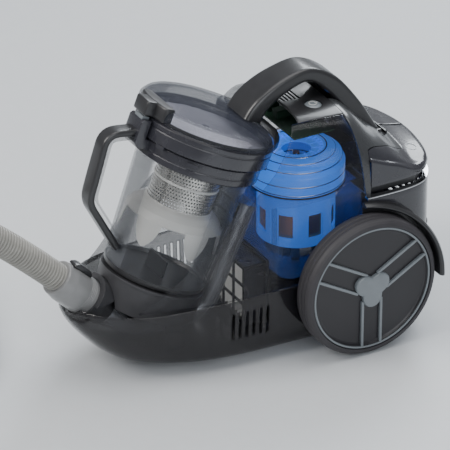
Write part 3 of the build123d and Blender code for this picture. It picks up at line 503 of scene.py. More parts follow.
def ribbed_hose():
    line = hose_line()
    ribs = round(length_of(line) / RIB_PITCH)
    count = ribs * len(RIB_SHAPE) + 1
    nodes = even(line, count)

    def section(share):
        k = round(share * (count - 1))
        return circle(HOSE_R - RIB_SHAPE[k % len(RIB_SHAPE)], 28)

    shape = sweep(nodes, section)
    hose = piece("hose", shape, HOSE, "hose", ["hose_tube"], angle=50)
    return hose, [tuple(p * MM) for p in even(line, 240)]


hose, hose_points = ribbed_hose()


# ---- the body's surface ----------------------------------------------------
TUB_PLAN = {
    15.0: [(26, -172), (58, -140), (82, -80), (91, 20), (92, 170), (70, 199), (30, 211)],
    38.0: [(30, -199), (66, -158), (87, -88), (94, 20), (95, 178), (74, 206), (32, 219)],
    80.0: [(33, -225), (74, -172), (91, -92), (96, 20), (98, 184), (78, 209), (34, 223)],
    95.0: [(34, -221), (76, -172), (92, -92), (97, 20), (99, 185), (79, 210), (35, 224)],
}
BODY_SECTIONS = {
    -182.0: [(64, 0), (66, 140), (60, 180), (48, 200), (0, 206)],
    -60.0: [(93, 0), (92, 160), (86, 205), (70, 236), (0, 246)],
    35.0: [(97, 0), (94, 200), (87, 242), (66, 284), (0, 292)],
    104.0: [(98.5, 0), (98, 230), (88, 260), (66, 282), (0, 289)],
    150.0: [(99.5, 0), (98.5, 221), (80, 237), (46, 247), (0, 251)],
    188.0: [(100, 0), (98, 207), (80, 213), (48, 219), (0, 222)],
    222.0: [(100, 0), (96, 203), (80, 208), (48, 212), (0, 214)],
}
JOINT = [(60, 160), (120, 150), (190, 113), (232, 108), (278, 104), (330, 100)]      # (Z, Y)
FRONT_EDGE = [(-171, 95.5), (-150, 110), (0, 241), (35, 288)]                        # (Y, Z)
RIM_Z = 95.5
TRIM_Z = 188.5
PANEL_HALF = 60.0
LID_SWING_R = 139.8


def ease(xs, ys, x):
    """Smooth interpolation that never overshoots its values."""
    xs = [float(v) for v in xs]
    x = min(max(x, xs[0]), xs[-1])
    i = max(k for k in range(len(xs) - 1) if xs[k] <= x)
    slopes = [(ys[k + 1] - ys[k]) / (xs[k + 1] - xs[k]) for k in range(len(xs) - 1)]

    def tangent(k):
        if k in (0, len(xs) - 1):
            return slopes[0] if k == 0 else slopes[-1]
        a, b = slopes[k - 1], slopes[k]
        return 0.0 if a * b <= 0 else 2 * a * b / (a + b)

    h = xs[i + 1] - xs[i]
    t = (x - xs[i]) / h
    return ((2 * t**3 - 3 * t**2 + 1) * ys[i] + (t**3 - 2 * t**2 + t) * h * tangent(i)
            + (3 * t**2 - 2 * t**3) * ys[i + 1] + (t**3 - t**2) * h * tangent(i + 1))


def hull_outline(z, inset=0.0, per=10):
    """Smooth closed plan of the lower body at a height."""
    heights = sorted(TUB_PLAN)
    half = []
    for k in range(7):
        half.append([ease(heights, [TUB_PLAN[h][k][axis] for h in heights], z) for axis in (0, 1)])
    nodes = half + [[-p[0], p[1]] for p in reversed(half)]
    loop = catmull(nodes, per, closed=True)
    out = []
    for i, p in enumerate(loop):
        along = loop[(i + 1) % len(loop)] - loop[i - 1]
        normal = Vector((along.y, -along.x)).normalized()
        out.append(p - normal * inset)
    return out


SECTION_STEPS = 16
section_cache = {}


def section(y):
    """Body outline at a station, from the right foot over the crown to the left foot, as (X, Z)."""
    key = round(y, 1)
    if key not in section_cache:
        stations = sorted(BODY_SECTIONS)
        half = []
        for k in range(5):
            half.append([ease(stations, [BODY_SECTIONS[s][k][axis] for s in stations], key)
                         for axis in (0, 1)])
        nodes = half + [[-p[0], p[1]] for p in reversed(half[:-1])]
        section_cache[key] = catmull(nodes, SECTION_STEPS)
    return section_cache[key]


def on_body(s, y):
    """Point of the body's surface; s runs from 0 at the right foot over 4 at the crown to 8."""
    line = section(y)
    place = min(max(s, 0.0), 8.0) * SECTION_STEPS
    i = min(int(place), len(line) - 2)
    p = line[i].lerp(line[i + 1], place - i)
    return Vector((p.x, y, p.y))


def s_at_height(z, y):
    low, high = 0.0, 4.0
    for _ in range(22):
        mid = (low + high) / 2
        if on_body(mid, y).z < z:
            low = mid
        else:
            high = mid
    return low


def s_at_width(x, y):
    low, high = 1.0, 4.0
    for _ in range(22):
        mid = (low + high) / 2
        if on_body(mid, y).x > x:
            low = mid
        else:
            high = mid
    return low


def crown_z(x, y):
    return on_body(s_at_width(min(abs(x), 95.5), y), y).z


def joint_y(z):
    return ease([p[0] for p in JOINT], [p[1] for p in JOINT], z)


def side_shell_patch():
    """Left wall between the sloping front edge, the rim and the leaning joint."""
    across, up = 64, 44
    edge = even([(0, y, z) for y, z in FRONT_EDGE], 49)
    rear_low = joint_y(RIM_Z) - 0.5
    rear_high = joint_y(284) - 0.5
    rows = []
    for i in range(across + 1):
        u = i / across
        if u <= 0.75:
            top = edge[round(u / 0.75 * 48)]
            y_top = top.y
            s_top = s_at_height(max(top.z, RIM_Z + 0.3), y_top)
            s_top = min(s_top, s_at_width(PANEL_HALF, y_top))
        else:
            y_top = 35 + (rear_high - 35) * (u - 0.75) / 0.25
            s_top = s_at_width(PANEL_HALF, y_top)
        y_low = -171 + (rear_low + 171) * u ** 0.9
        row = []
        for j in range(up + 1):
            v = (j / up) ** 0.85
            z = RIM_Z + (284 - RIM_Z) * v
            for _ in range(3):
                y = y_low + (y_top - y_low) * v
                straight = rear_low + (rear_high - rear_low) * v
                y += (joint_y(z) - 0.5 - straight) * u ** 3
                low = s_at_height(RIM_Z, y)
                point = on_body(low + (s_top - low) * v, y)
                z = point.z
            row.append(point)
        rows.append(row)
    return skin(rows, wrap=False)


def pedal_line(x):
    """Front boundary of the rear pedals, as a Y for a distance from the middle plane."""
    return float(np.interp(abs(x), [0, 60, 92, 130], [189, 185, 118, 118]))


def deck_front(p):
    """Front boundary of the deck: an arc about the lid's hinge, clear of the lid's swing."""
    return HINGE_Y - math.sqrt(LID_SWING_R**2 - (p.z - HINGE_Z) ** 2)


def over_body(s_low, s_high, y_from, y_to, across, along):
    """Patch over the crown from the right side to the left, between two boundaries."""
    rows = []
    for i in range(across + 1):
        s = s_low + (s_high - s_low) * i / across
        row = []
        for j in range(along + 1):
            y = 150.0
            for _ in range(6):
                point = on_body(s, y)
                front = y_from(point)
                y = front + (y_to(point) - front) * j / along
            row.append(on_body(s, y))
        rows.append(row)
    return skin(rows, wrap=False)


def rim_path(z, inset, y_start, count):
    """Plan of the body from the left side at y_start, round the back to the right side."""
    loop = hull_outline(z, inset, per=16)
    right = sorted([p for p in loop if p.x >= 0 and p.y >= y_start], key=lambda p: math.atan2(p.x, p.y - 60))
    edge = [p for p in loop if p.x > 50]
    nearest = min(edge, key=lambda p: abs(p.y - y_start))
    right.append(Vector((nearest.x, y_start)))
    line = [Vector((-p.x, p.y)) for p in reversed(right)] + right
    return even([(p.x, p.y, 0) for p in line], count)


def rear_wall_patch():
    rows = []
    for k in range(13):
        z = RIM_Z + (TRIM_Z - 0.2 - RIM_Z) * k / 12
        line = rim_path(95, 0, joint_y(z) + 0.3, 121)
        rows.append([(p.x, p.y, z) for p in line])
    return skin(rows, wrap=False)


# ---- lower hull ------------------------------------------------------------
SCREWS = [(62, -95), (76, -10), (76, 150), (55, 192)]
HULL_RINGS = [(15, 9), (15.2, 5.5), (16.2, 2.4), (18.5, 0.8), (23, 0), (30, 0), (38, 0), (48, 0), (58, 0),
              (68, 0), (76, 0), (82, 0), (88, 0), (92.8, 0), (94.4, 0.4), (95, 1.2)]


def hull():
    rows = [[(p.x, p.y, z) for p in hull_outline(z, inset)] for z, inset in HULL_RINGS]
    shell = skin(rows, caps=False)
    shell[1].append(tuple(range(len(rows[0])))[::-1])
    cutters = [moved(prism(circle(26.5, 48), -60, 14), CUFF)]
    cutters.append(moved(prism(circle(24, 48), 0, 20), Matrix.Translation((0, -132, 0))))
    for side in (-1, 1):
        for i in range(6):
            ends = sorted((side * 80, side * 110))
            cutters.append(box(ends, (-62 + 9 * i, -58 + 9 * i), (42, 78)))
        for x, y in SCREWS:
            cutters.append(moved(prism(circle(4.8, 24), 0, 20), Matrix.Translation((side * x, y, 0))))
    piece("hull", shell, HULL, "chassis", ["lower_chassis"], thick=2.5, core=(0, 0, 90),
          cut=join(*cutters), bevel=0.5, angle=40)
    parts = [moved(lathe([(24, 15.2), (26, 15.2), (26, 31), (3.2, 31), (3.2, 29), (24, 29)], 0.6, 48),
                   Matrix.Translation((0, -132, 0)))]
    for side in (-1, 1):
        for x, y in SCREWS:
            boss = band(2.3, 6, 16.7, 40, 0.4, 24)
            parts.append(moved(boss, Matrix.Translation((side * x, y, 0))))
    piece("hull_bosses", join(*parts), HULL, "chassis")
    boss = moved(band(5.0, 12, 82, 98.6, 0.8, 48), LEFT_WHEEL)
    web = box((82, 96), (100, 106), (18, 78))
    for name, matrix in BOTH_SIDES:
        piece(name + "_axle_boss", moved(join(boss, web), matrix), SATIN, "chassis", bevel=0.8)


hull()


# ---- upper covers ----------------------------------------------------------
def covers():
    left = side_shell_patch()
    for name, matrix in BOTH_SIDES:
        piece(name + "_shell", moved(left, matrix), SMOKED, "chassis",
              [name + "_side_shell"], thick=2.5, bevel=0.5)

    panel_low = s_at_width(PANEL_HALF - 0.5, 70)
    panel = over_body(panel_low, 8 - panel_low, deck_front, lambda p: joint_y(p.z) - 0.5, 48, 22)
    slots = [box((-34, 12), (51 + 5 * i, 53.4 + 5 * i), (270, 330)) for i in range(5)]
    slots.append(moved(prism(circle(11, 48), 260, 330), Matrix.Translation((30, 80, 0))))
    piece("deck_panel", panel, SATIN, "chassis", ["control_panel"], thick=2.5,
          cut=join(*slots), bevel=0.4)

    low = s_at_height(TRIM_Z + 2.5, 116)
    cover = over_body(low, 8 - low, lambda p: joint_y(p.z), lambda p: pedal_line(p.x), 110, 26)
    slot = box((-25, 25), (95, 184), (180, 330))
    piece("rear_hood", cover, GREY, "chassis", ["rear_cover"], thick=2.5,
          cut=join(slot, box((-1.2, 1.2), (184, 300), (150, 330))), bevel=0.6)
    trough = [(106, 284), (110, 280), (134, 244), (150, 216), (157, 208), (167, 205.5), (177, 207.5),
              (183.5, 214), (184.5, 226)]
    line = catmull([(0, y, z) for y, z in trough], 6)
    rows = []
    for p in line:
        wall = max(p.z, crown_z(26, p.y) - 1.2)
        rows.append([(26.2, p.y, wall), (26.2, p.y, p.z + 1.5), (24.8, p.y, p.z), (-24.8, p.y, p.z),
                     (-26.2, p.y, p.z + 1.5), (-26.2, p.y, wall)])
    piece("handle_trough", skin(rows, wrap=False), SATIN, "chassis", thick=1.2,
          core=(0, 140, 330))
    lugs = [box(sorted((side * 25.5, side * 30)), (159, 175), (212, 233)) for side in (-1, 1)]
    piece("hinge_lugs", join(*lugs), SATIN, "chassis", bevel=1.2)

    vents = [box((-45, 45), (205, 245), (112 + 9 * i, 116 + 9 * i)) for i in range(6)]
    vents.append(moved(prism(circle(5, 32), 180, 240), frame_at((70, 0, 120), (0, 1, 0), (1, 0, 0))))
    piece("rear_wall", rear_wall_patch(), GRAPHITE, "chassis", ["rear_body"], thick=2.5,
          cut=join(*vents), bevel=0.5)

    outer = rim_path(95, -1, 113.5, 161)
    middle = rim_path(95, -0.4, 113.5, 161)
    inner = rim_path(95, 6, 113.5, 161)
    rows = []
    for a, b, c in zip(outer, middle, inner):
        rows.append([(c.x, c.y, TRIM_Z), (b.x, b.y, TRIM_Z),
                     (a.x, a.y, TRIM_Z + 0.6), (a.x, a.y, TRIM_Z + 1.4),
                     (b.x, b.y, TRIM_Z + 2), (c.x, c.y, TRIM_Z + 2)])
    piece("trim_strip", skin(rows), CHROME, "chassis", ["rear_trim"])


def pedal_patch():
    """Left pedal: a wedge on the rear corner with a rolled edge and a plain face below."""
    count = 56
    outer = [p for p in rim_path(95, 1.5, 118.8, 401) if p.x >= 1.6]
    outer = even(outer[::-1], count)
    front = rounded([(92.4, 118.8, 0), (60.5, 185.6, 9), (1.6, 189.6, 0), (500, 500, 0)], 0, 8)[:-1]
    inner = even([(p.x, p.y, 0) for p in front], count)
    roll = 4.0
    rows = []
    for a, b in zip(inner, outer):
        inward = (a - b).normalized()
        row = []
        top_edge = b + inward * roll
        for k in range(11):
            p = a.lerp(top_edge, k / 10)
            row.append((p.x, p.y, crown_z(p.x, p.y)))
        height = crown_z(b.x, b.y)
        for angle in (22, 45, 68, 90):
            t = math.radians(angle)
            p = b + inward * (roll * (1 - math.sin(t)))
            row.append((p.x, p.y, height - roll * (1 - math.cos(t))))
        for z in (height - roll - 2, 207, 202.6):
            row.append((b.x, b.y, min(z, height - roll - 0.5)))
        row.append((b.x + inward.x * 1.0, b.y + inward.y * 1.0, 202))
        rows.append(row)
    return skin(rows, wrap=False)


def pedals():
    shape = pedal_patch()
    centre = Vector((56, 200, crown_z(56, 200)))
    ahead = Vector((56, 206, crown_z(56, 206))) - centre
    side = Vector((62, 200, crown_z(62, 200))) - centre
    plane = frame_at(centre, side.cross(ahead), side)
    ring = moved(band(6.2, 7.0, -0.4, 0.35, 0, 40), plane)
    for name, matrix in BOTH_SIDES:
        body = name + "_foot_pedal"
        piece(name + "_pedal_top", moved(shape, matrix), GRAPHITE, body, [name + "_pedal"],
              thick=3.0, bevel=0.5, core=(0, 160, 150))
        piece(name + "_pedal_mark", moved(ring, matrix), ACCENT, body)


covers()
pedals()


# ---- wheels and fenders ----------------------------------------------------
SPOKE_TURNS = (30, 150, 270)
TYRE_PROFILE = [(79.5, 105), (84, 105), (86.6, 107.4), (88, 112), (88, 115.8), (87.1, 116.3), (87.1, 117.5),
                (88, 118), (88, 123), (87.1, 123.5), (87.1, 124.7), (88, 125.2), (87.9, 128), (86.6, 132),
                (84.4, 134.8),
                (81, 136), (79.5, 136)]
DISC_PROFILE = [(5.06, 103.5), (11, 103.5), (13, 119), (16, 121), (72, 121), (76, 108), (79.4, 108),
                (79.4, 132),
                (78.8, 133), (75.2, 133), (74.6, 131.6), (72.5, 130.4), (24, 130.9), (13, 130.9), (13, 130),
                (5.06, 130)]


def tyre():
    return lathe(TYRE_PROFILE, 0.6, 216)


def wheel_trim():
    """Thin ring and three double spokes, and the three-lobed cap over the axle's end."""
    parts = [band(76.2, 78.7, 133, 134.4, 0.5, 128)]
    for turn in SPOKE_TURNS:
        for shift in (-12.5, 12.5):
            parts.append(spin(box((15, 75.2), (shift - 1.7, shift + 1.7), (129.6, 134.3)), turn))
    lobed = []
    for i in range(120):
        angle = 360 * i / 120
        away = min(abs((angle - turn + 180) % 360 - 180) for turn in SPOKE_TURNS)
        reach = 15.0 + 9.5 * max(0.0, math.cos(math.radians(1.5 * away))) ** 1.3
        lobed.append((reach * math.cos(math.radians(angle)), reach * math.sin(math.radians(angle))))
    levels = ((1, 124), (1, 134.4), (0.975, 135.5), (0.92, 136.1), (0.6, 136.5))
    cap = skin([[(p[0] * k, p[1] * k, h) for p in lobed] for k, h in levels])
    return join(*parts), cap


FENDER_R = 96.2


def fender():
    """Arch behind the wheel that grows wider from its front end to the rear."""
    line = []
    for i in range(49):
        angle = math.radians(-4 + 92 * i / 48)
        line.append((0, WHEEL_Y + FENDER_R * math.cos(angle), WHEEL_Z + FENDER_R * math.sin(angle)))

    def arch(share):
        edge = 138.5 - 27 * share ** 1.3
        thick = 4.2 - 1.4 * share
        return rounded([(102.2, -thick), (edge - 3, -thick), (edge, -0.5 * thick), (edge, 0.2 * thick),
                        (edge - 5, 0.95 * thick), (102.2, thick)], 1.4)

    web = [(102.2, -30), (104, -30), (104, -2.6), (102.2, -2.6)]
    return join(sweep(line, arch), sweep(line, lambda share: web))


def wheels():
    trim, cap = wheel_trim()
    arch = fender()
    for name, mirror in BOTH_SIDES:
        place = mirror @ LEFT_WHEEL
        body = name + "_wheel"
        piece(name + "_tyre_ring", tyre(), TYRE, body, [name + "_tyre"], place=place, angle=40)
        piece(name + "_rim", lathe(DISC_PROFILE, 0.9, 128), PANEL, body,
              [name + "_wheel_disc"], place=place)
        piece(name + "_spokes", trim, ACCENT, body, [name + "_wheel_trim"], place=place,
              bevel=0.7)
        piece(name + "_hub_cap", cap, ACCENT, body, place=place, angle=50)
    piece("fender_arches", join(arch, moved(arch, MIRROR)), SATIN, "chassis", ["fenders"])


wheels()


# ---- dust cup --------------------------------------------------------------
def arc_block(inner, outer, start, size, low, high, steps=6):
    rows = []
    for i in range(steps + 1):
        a = math.radians(start + size * i / steps)
        c, s = math.cos(a), math.sin(a)
        rows.append([(inner * c, inner * s, low), (outer * c, outer * s, low),
                     (outer * c, outer * s, high), (inner * c, inner * s, high)])
    return skin(rows)


HANDLE_LINE = [(-94, -25.2, 0), (-126, -33.5, 14), (-119.5, -113, 26), (-63, -161.6, 0), (400, -400, 0)]
PORT = frame_at((0, -3.9, 162.2), (0, -0.907, 0.421), (1, 0, 0))


def dust_cup():
    profile = [(59.8, -186), (62.3, -186), (63.2, -182), (69, -44), (69, -40), (66.5, -40), (66.5, -44)]
    wall = lathe(profile, 0.6, 128)
    port = moved(box((-20, 20), (-8, 8), (0, 60)), PORT)
    piece("cup_clear", wall, CLEAR, "dust_cup", ["cup_wall"], place=CUP, cut=port)
    line = [CUP @ Vector((0, p.x, p.y)) for p in rounded(HANDLE_LINE, 10, 9)[:-1]]
    line = even(line, 60)
    core = [p + Vector((0, -3)) for p in rounded_box(13, 6, 1.6)]
    piece("handle_core", sweep(line, lambda share: core), CLEAR, "dust_cup")
    grip = [p + Vector((0, 4.25)) for p in rounded_box(20, 8.5, 3.4, 4)]

    def strap(share):
        swell = 1 + 0.10 * math.exp(-((share - 0.42) / 0.2) ** 2)
        return [Vector((p.x * swell, p.y)) for p in grip]

    piece("cup_grip", sweep(line, strap), SATIN, "dust_cup", ["cup_handle"])
    ring = lathe([(69.2, -46), (76.3, -46), (77.5, -44.8), (77.5, -38.6), (76.9, -38), (76.9, -37),
                  (77.5, -36.4),
                  (77.5, -27.2), (76.3, -26), (66.5, -26), (66.5, -39.9), (69.2, -39.9)], 0.5, 128)
    lugs = [arc_block(77.2, 81.5, turn, 9, -33, -29) for turn in (80, 200, 320)]
    piece("cup_ring", join(ring, *lugs), GRAPHITE, "dust_cup", ["cup_collar"], place=CUP)
    outline = [(-72, -38), (-91, -38), (-97, -32), (-97, -6), (-94, -3), (-85, -3), (-84.2, -5),
               (-84.2, -26), (-72, -26)]
    pocket = moved(box((-9, 9), (-95, -84.5), (-12, 0)), CUP)
    piece("latch_block", side_prism(outline, -15, 15), GRAPHITE, "dust_cup", place=CUP,
          cut=pocket, bevel=1.6, segments=3)
    ridges = [box((-6.4, 6.4), (-93.2 + 2.6 * i, -92.2 + 2.6 * i), (-1, 0.0)) for i in range(3)]
    button = join(box((-8.6, 8.6), (-94.6, -84.9), (-7.5, -0.5)), *ridges)
    piece("cup_button_cap", button, ACCENT, "cup_button", ["cup_release_button"], place=CUP,
          bevel=0.5)


PETAL = [(-117, 17.0, 59.2), (-123, 16.2, 60.0), (-130, 14.6, 60.2), (-137, 12.0, 60.2), (-143, 8.4, 60.0),
         (-147, 5.0, 59.8), (-149.6, 1.6, 59.6)]      # (height, half width, radius)


def shroud():
    """Perforated cylinder with a flared skirt and hanging petals below it."""
    columns, rows_high = 66, 14
    radius, low, high = 39.0, -100.5, -44.0
    pitch_h = (high - low) / rows_high
    points = []
    faces = []
    for c in range(columns):
        for r in range(rows_high):
            base = len(points)
            shift = 0.5 if r % 2 else 0.0
            for kind, size in (("edge", 1.0), ("hole", 0.62)):
                for k in range(8):
                    a = math.pi / 4 * k
                    if kind == "edge":
                        reach = 1 / max(abs(math.cos(a)), abs(math.sin(a)))
                        u, v = math.cos(a) * reach / 2, math.sin(a) * reach / 2
                    else:
                        u, v = math.cos(a) * size / 2, math.sin(a) * size / 2
                    turn = 2 * math.pi * (c + shift + u) / columns
                    points.append(Vector((radius * math.cos(turn), radius * math.sin(turn),
                                          low + (r + 0.5 + v) * pitch_h)))
            for k in range(8):
                n = (k + 1) % 8
                faces.append((base + k, base + n, base + 8 + n, base + 8 + k))
    core = CUP @ Vector((0, 0, -72))
    piece("shroud_screen", (points, faces), MESH, "dust_cup", ["cyclone_insert"], place=CUP,
          thick=0.9, core=core, angle=60)
    bands = [band(37.4, 39.9, h, h + 3, 0.7, 96) for h in (-103, -73.5, -45)]
    skirt = lathe([(37.5, -103), (39.6, -100.5), (46, -103.4), (54, -109.4), (59.4, -117.6), (58.6, -119.4),
                   (57.4, -118.6), (52, -111.4), (44, -106)], 0.7, 96)
    fins = []
    for i in range(6):
        blade = []
        for h, half, reach in PETAL:
            turns = [half / reach * k / 4 for k in range(-4, 5)]
            outside = [(reach * math.cos(a), reach * math.sin(a), h) for a in turns]
            within = reach - 1.5
            inside_row = [(within * math.cos(a), within * math.sin(a), h) for a in reversed(turns)]
            blade.append(outside + inside_row)
        fins.append(spin(skin(blade), 60 * i))
    plate = lathe([(22, -44), (38, -44), (66, -42.2), (66, -40.4), (22, -40.4)], 0.5, 96)
    pipe = lathe([(12, -98), (14, -98), (24, -44), (22, -44)], 0.5, 64)
    piece("cyclone_core", join(*bands, skirt, *fins, plate, pipe), WHITE, "dust_cup",
          place=CUP, angle=40)


def filter_parts():
    ring = lathe([(75, -24), (82, -24), (83, -23), (83, -9.4), (82.3, -8.8), (82.3, -7.8), (83, -7.2),
                  (83, -2.4),
                  (80.8, 0), (76.2, 0), (75, -1.4)], 0.6, 144)
    parts = [ring, band(70, 75.2, -24, -21, 0.4, 96),
             band(0.01, 10, -24, -21, 0.4, 32)]
    for radius in (30, 52):
        parts.append(band(radius - 1.2, radius + 1.2, -24, -21, 0.3, 64))
    for i in range(6):
        parts.append(spin(box((8, 73), (-1.5, 1.5), (-24, -21)), 60 * i))
    for turn in (50, 170, 290):
        parts.append(arc_block(78.2, 82.9, turn, 8, -28, -23.5))
    for i in range(60):
        if i % 20 < 7:
            parts.append(spin(box((82.2, 83.0), (-0.8, 0.8), (-21, -11)), 6 * i + 20))
    piece("top_ring", join(*parts), GRAPHITE, "filter", ["filter_ring"], place=CUP)
    profile = [(0.01, -20.8), (73.5, -20.8), (74.5, -19.6), (74.5, -9), (73.6, -7), (71.5, -5.9)]
    for k in range(1, 15):
        r = 71.5 * (1 - k / 15)
        profile.append((max(r, 0.01), -5.9 + 2.4 * (1 - (r / 71.5) ** 2)))
    points, faces = lathe(profile, 0, 120)
    bumpy = []
    for p in points:
        wave = 0.35 * math.sin(p.x * 0.31 + 1.3) * math.cos(p.y * 0.27)
        wave += 0.22 * math.sin(p.x * 0.9) * math.sin(p.y * 0.8)
        bumpy.append(Vector((p.x, p.y, p.z + (wave if p.z > -6.2 else 0))))
    foam = piece("foam_disc", (bumpy, faces), FOAM, "filter", ["prefilter"], place=CUP)


dust_cup()
shroud()
filter_parts()


# ---- lid and carrying handle -----------------------------------------------
DOME = [(83.4, 1.2), (86, 1.2), (86, 10.5, 6), (80.5, 17.2, 6), (40, 18.8, 30), (0.01, 19.4), (0.01, 16.9),
        (40, 16.3, 30), (79.4, 14.8, 5), (83.4, 9.4, 5)]
STRAP_OUTER = [(-6, 287), (2, 298), (18, 311), (46, 324), (82, 330), (116, 313), (148, 275), (170, 240),
               (178, 227)]
STRAP_INNER = [(16, 278), (22, 288), (36, 299), (58, 309), (82, 313), (109, 290), (137, 250), (155, 222),
               (160, 212)]


def lid():
    dome = moved(lathe(DOME, 0.5, 144), CUP)
    nose_gap = moved(box((-31, 31), (-100, -68), (-10, 60)), CUP)
    behind = moved(box((-200, 200), (52, 200), (-10, 60)), CUP)
    cuts = join(nose_gap, behind)
    piece("lid_window", dome, LID, "lid", ["cover_window"], cut=cuts, bevel=0.3)
    ahead = moved(box((-200, 200), (-200, 52.4), (-10, 60)), CUP)
    rear_cut = join(ahead, box((-200, 200), (30, 300), (100, 500)))
    piece("lid_rear", dome, SATIN, "lid", ["top_cover"], cut=rear_cut, bevel=0.6)
    arc = []
    for i in range(25):
        a = math.asin(30.5 / 86) * (2 * i / 24 - 1)
        arc.append(Vector((86 * math.sin(a), -86 * math.cos(a))))
    outline = arc + [Vector((30.5, -68.4)), Vector((-30.5, -68.4))]
    piece("lid_nose", prism(outline, 1.4, 20), SATIN, "lid", place=CUP, bevel=3.0, segments=4)
    piece("lid_catch", box((-14, 14), (-97, -78), (1.6, 19.4)), SATIN, "lid", place=CUP,
          bevel=2.6, segments=4)

    outer = even(catmull([(0, y, z) for y, z in STRAP_OUTER], 8), 72)
    inner = even(catmull([(0, y, z) for y, z in STRAP_INNER], 8), 72)
    rows = []
    for i, (a, b) in enumerate(zip(outer, inner)):
        share = i / 71
        middle = (a + b) / 2
        up = (a - b) / 2
        half = 24.0 - 3.5 * math.sin(math.pi * min(1.0, share / 0.8)) ** 2
        depth = up.length
        edge = min(5.5, depth * 0.8)
        corners = [(-half, -depth, edge), (half, -depth, edge), (half, depth, 6.5), (-half, depth, 6.5)]
        ring = rounded(corners, 4, 5)
        up = up.normalized()
        rows.append([middle + Vector((p.x, 0, 0)) + up * p.y for p in ring])
    strap = skin(rows)
    profile = [(4.06, -24), (11.8, -24), (13, -22.8), (13, 22.8), (11.8, 24), (4.06, 24)]
    drum = moved(lathe(profile, 0.6, 64), HINGE)
    piece("carry_strap", join(strap, drum), SATIN, "lid", ["carry_handle"], angle=50)


lid()


# ---- motor, filter and controls inside -------------------------------------
def inside():
    profile = [(58, 182.2), (58, 207, 3), (54.4, 210.6), (54.4, 215.6, 2.5), (46.4, 218.6),
               (46.4, 221.6, 2.5),
               (38, 224), (32, 224), (32, 220), (18, 220), (18, 217), (30, 217), (43, 215), (51, 209),
               (55.5, 205),
               (55.5, 184.2), (47, 184.2), (47, 182.2)]
    teeth = []
    for i in range(30):
        teeth.append(spin(box((27.6, 31.9), (-1.2, 1.2), (218.6, 222.6)), 12 * i))
    vanes = []
    for i in range(12):
        vanes.append(spin(box((18.2, 28), (-0.5, 0.5), (218.5, 221)), 30 * i))
    piece("fan_cap", join(lathe(profile, 1.0, 128), *teeth, *vanes), BLUE, "chassis",
          ["fan_housing"], place=MOTOR, angle=40)
    rims = [band(r - 1.2, r + 0.4, z - 0.7, z + 0.7, 0.4, 96)
            for r, z in ((57.9, 184.5), (57.9, 196), (54.3, 213), (46.3, 220.4), (36, 224))]
    piece("motor_rims", join(*rims), CHROME, "chassis", place=MOTOR)

    bars = [box((-39, 39), (-16.5, 11), z) for z in ((22, 27), (97, 102))]
    bars += [box(x, (-16.5, 11), (22, 102)) for x in ((-39, -35), (35, 39))]
    for k in range(4):
        x = -36.75 + 24.5 * k
        bars.append(box((x - 1.75, x + 1.75), (-16.5, -14), (23, 101)))
        bars.append(box((-38, 38), (-16.4, -14.1), (23.5 + 24.5 * k, 27.0 + 24.5 * k)))
    flange = [box((-43, 43), (11, 14), z) for z in ((19, 26), (98, 105))]
    flange += [box(x, (11, 14), (19, 105)) for x in ((-43, -36), (36, 43))]
    piece("filter_cassette", join(*bars, *flange), GRAPHITE, "chassis", ["hepa_frame"],
          bevel=0.7)

    dome = lathe([(0.01, 282), (10.5, 282), (10.5, 288.6, 1.6), (7.5, 290.4, 3), (0.01, 290.9)], 0.4, 64)
    stem = band(0.01, 3, 276, 282.5, 0, 24)
    place = Matrix.Translation((30, 80, 0))
    piece("power_cap", join(dome, stem), ACCENT, "power_switch", ["power_button"],
          place=place)
    arc = arc_block(4.2, 4.9, 120, 300, 290.2, 291.0, 36)
    icon = join(arc, box((-0.35, 0.35), (2.2, 6.0), (290.2, 291.0)))
    piece("power_mark", icon, WHITE, "power_switch", place=place)


inside()


# ---- hose ends -------------------------------------------------------------
def hose_ends():
    grip = [(15, -28), (17.5, -28), (17.5, -11.5), (23.5, -11.5), (23.5, 2)]
    for i in range(4):
        h = 4 + 2.4 * i
        grip += [(23.5, h), (22.7, h + 0.6), (22.7, h + 1.4), (23.5, h + 2)]
    grip += [(23.5, 36), (22.2, 44), (21.4, 49), (20, 50), (15, 50)]
    notch = moved(box((-8, 8), (20, 30), (14, 44)), CUFF)
    piece("cuff", lathe(grip, 0.5, 96), CUFF_GREY, "hose", ["hose_cuff"], place=CUFF,
          cut=notch)
    outline = [(22.2, 14.6), (22.2, 43.4), (25.2, 43.4), (28.4, 38), (29, 33), (28.2, 31.5), (29, 30),
               (28.2, 28.5),
               (29, 27), (28.2, 25.5), (29, 24), (28.6, 20), (25.4, 14.6)]
    piece("cuff_catch_cap", side_prism(outline, -7.3, 7.3), SATIN, "cuff_catch", ["cuff_latch"],
          place=CUFF, bevel=0.9)

    last = Vector(HOSE_ROUTE[-1]) / MM
    along = (last - Vector(HOSE_ROUTE[-2]) / MM).normalized()
    end = frame_at(last, along, Vector((0, 0, 1)).cross(along))
    ring = lathe([(18.1, 46), (20, 46), (20.6, 47), (20.6, 67), (20, 68), (18.1, 68)], 0.4, 64)
    knob = box((-6, 6), (19.8, 22.5), (54, 60))
    piece("air_bleed_ring", join(ring, knob), ACCENT, "air_slider", ["bleed_slider"],
          place=end, bevel=0.5)


hose_ends()


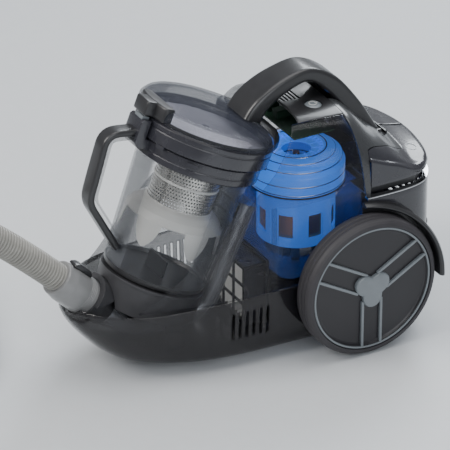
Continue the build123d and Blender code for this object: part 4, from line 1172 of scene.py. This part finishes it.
# ---- materials of the CAD nodes that keep their shape ----------------------
KEPT = {
    STEEL: ["chassis_screws", "pivot_pins", "pedal_springs", "wheel_axles", "motor_fan", "motor_bearings",
            "reel_bracket"],
    BOARD: ["circuit_board"],
    SATIN: ["caster_fork", "pedal_bed", "cup_base", "wand_handle"],
    TYRE: ["caster_wheel"],
    SMOKED: ["exhaust_duct"],
    DUCT: ["inlet_duct"],
    RUBBER: ["rubber_seals", "motor_mounts", "cup_seal", "lid_seal"],
    DARK_IN: ["inlet_collar", "cup_seat", "cord_reel"],
    PAPER: ["hepa_pleats"],
    CHAMBER: ["motor_chamber"],
    BLUE: ["motor_casing"],
    COPPER: ["motor_stator", "motor_rotor"],
}
for kept_material, names in KEPT.items():
    for node_name in names:
        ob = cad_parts[node_name]
        ob.data.materials.clear()
        ob.data.materials.append(kept_material)


# ---- floor and light -------------------------------------------------------
def studio():
    half = 4000
    corners = ((-half, -half), (half, -half), (half, half), (-half, half))
    floor = loose_object("floor", ([Vector((x, y, -0.4)) for x, y in corners], [(0, 1, 2, 3)]))
    paint = material("floor_paint", (0.62, 0.64, 0.66), rough=0.55, spread=0.01, bump=0.01)
    floor.data.materials.append(paint)
    world = bpy.data.worlds.new("studio")
    scene.world = world
    world.use_nodes = True
    back = world.node_tree.nodes["Background"]
    back.inputs["Color"].default_value = (0.86, 0.89, 0.93, 1)
    back.inputs["Strength"].default_value = 0.36
    lamps = [
        ("key", (-0.3, -1.9, 1.9), 55, 1.4, (1.0, 0.98, 0.95)),
        ("fill", (2.2, -0.2, 1.1), 22, 1.6, (0.92, 0.96, 1.0)),
        ("rim", (-1.4, 1.6, 1.7), 45, 1.2, (0.9, 0.95, 1.0)),
        ("top", (0.2, 0.2, 2.2), 26, 1.8, (1.0, 1.0, 1.0)),
    ]
    for name, place, power, size, color in lamps:
        light = bpy.data.lights.new(name, "AREA")
        light.energy = power
        light.size = size
        light.color = color
        lamp = bpy.data.objects.new(name, light)
        lamp.location = place
        lamp.rotation_euler = (Vector(place) - TARGET).to_track_quat("Z", "Y").to_euler()
        scene.collection.objects.link(lamp)


studio()
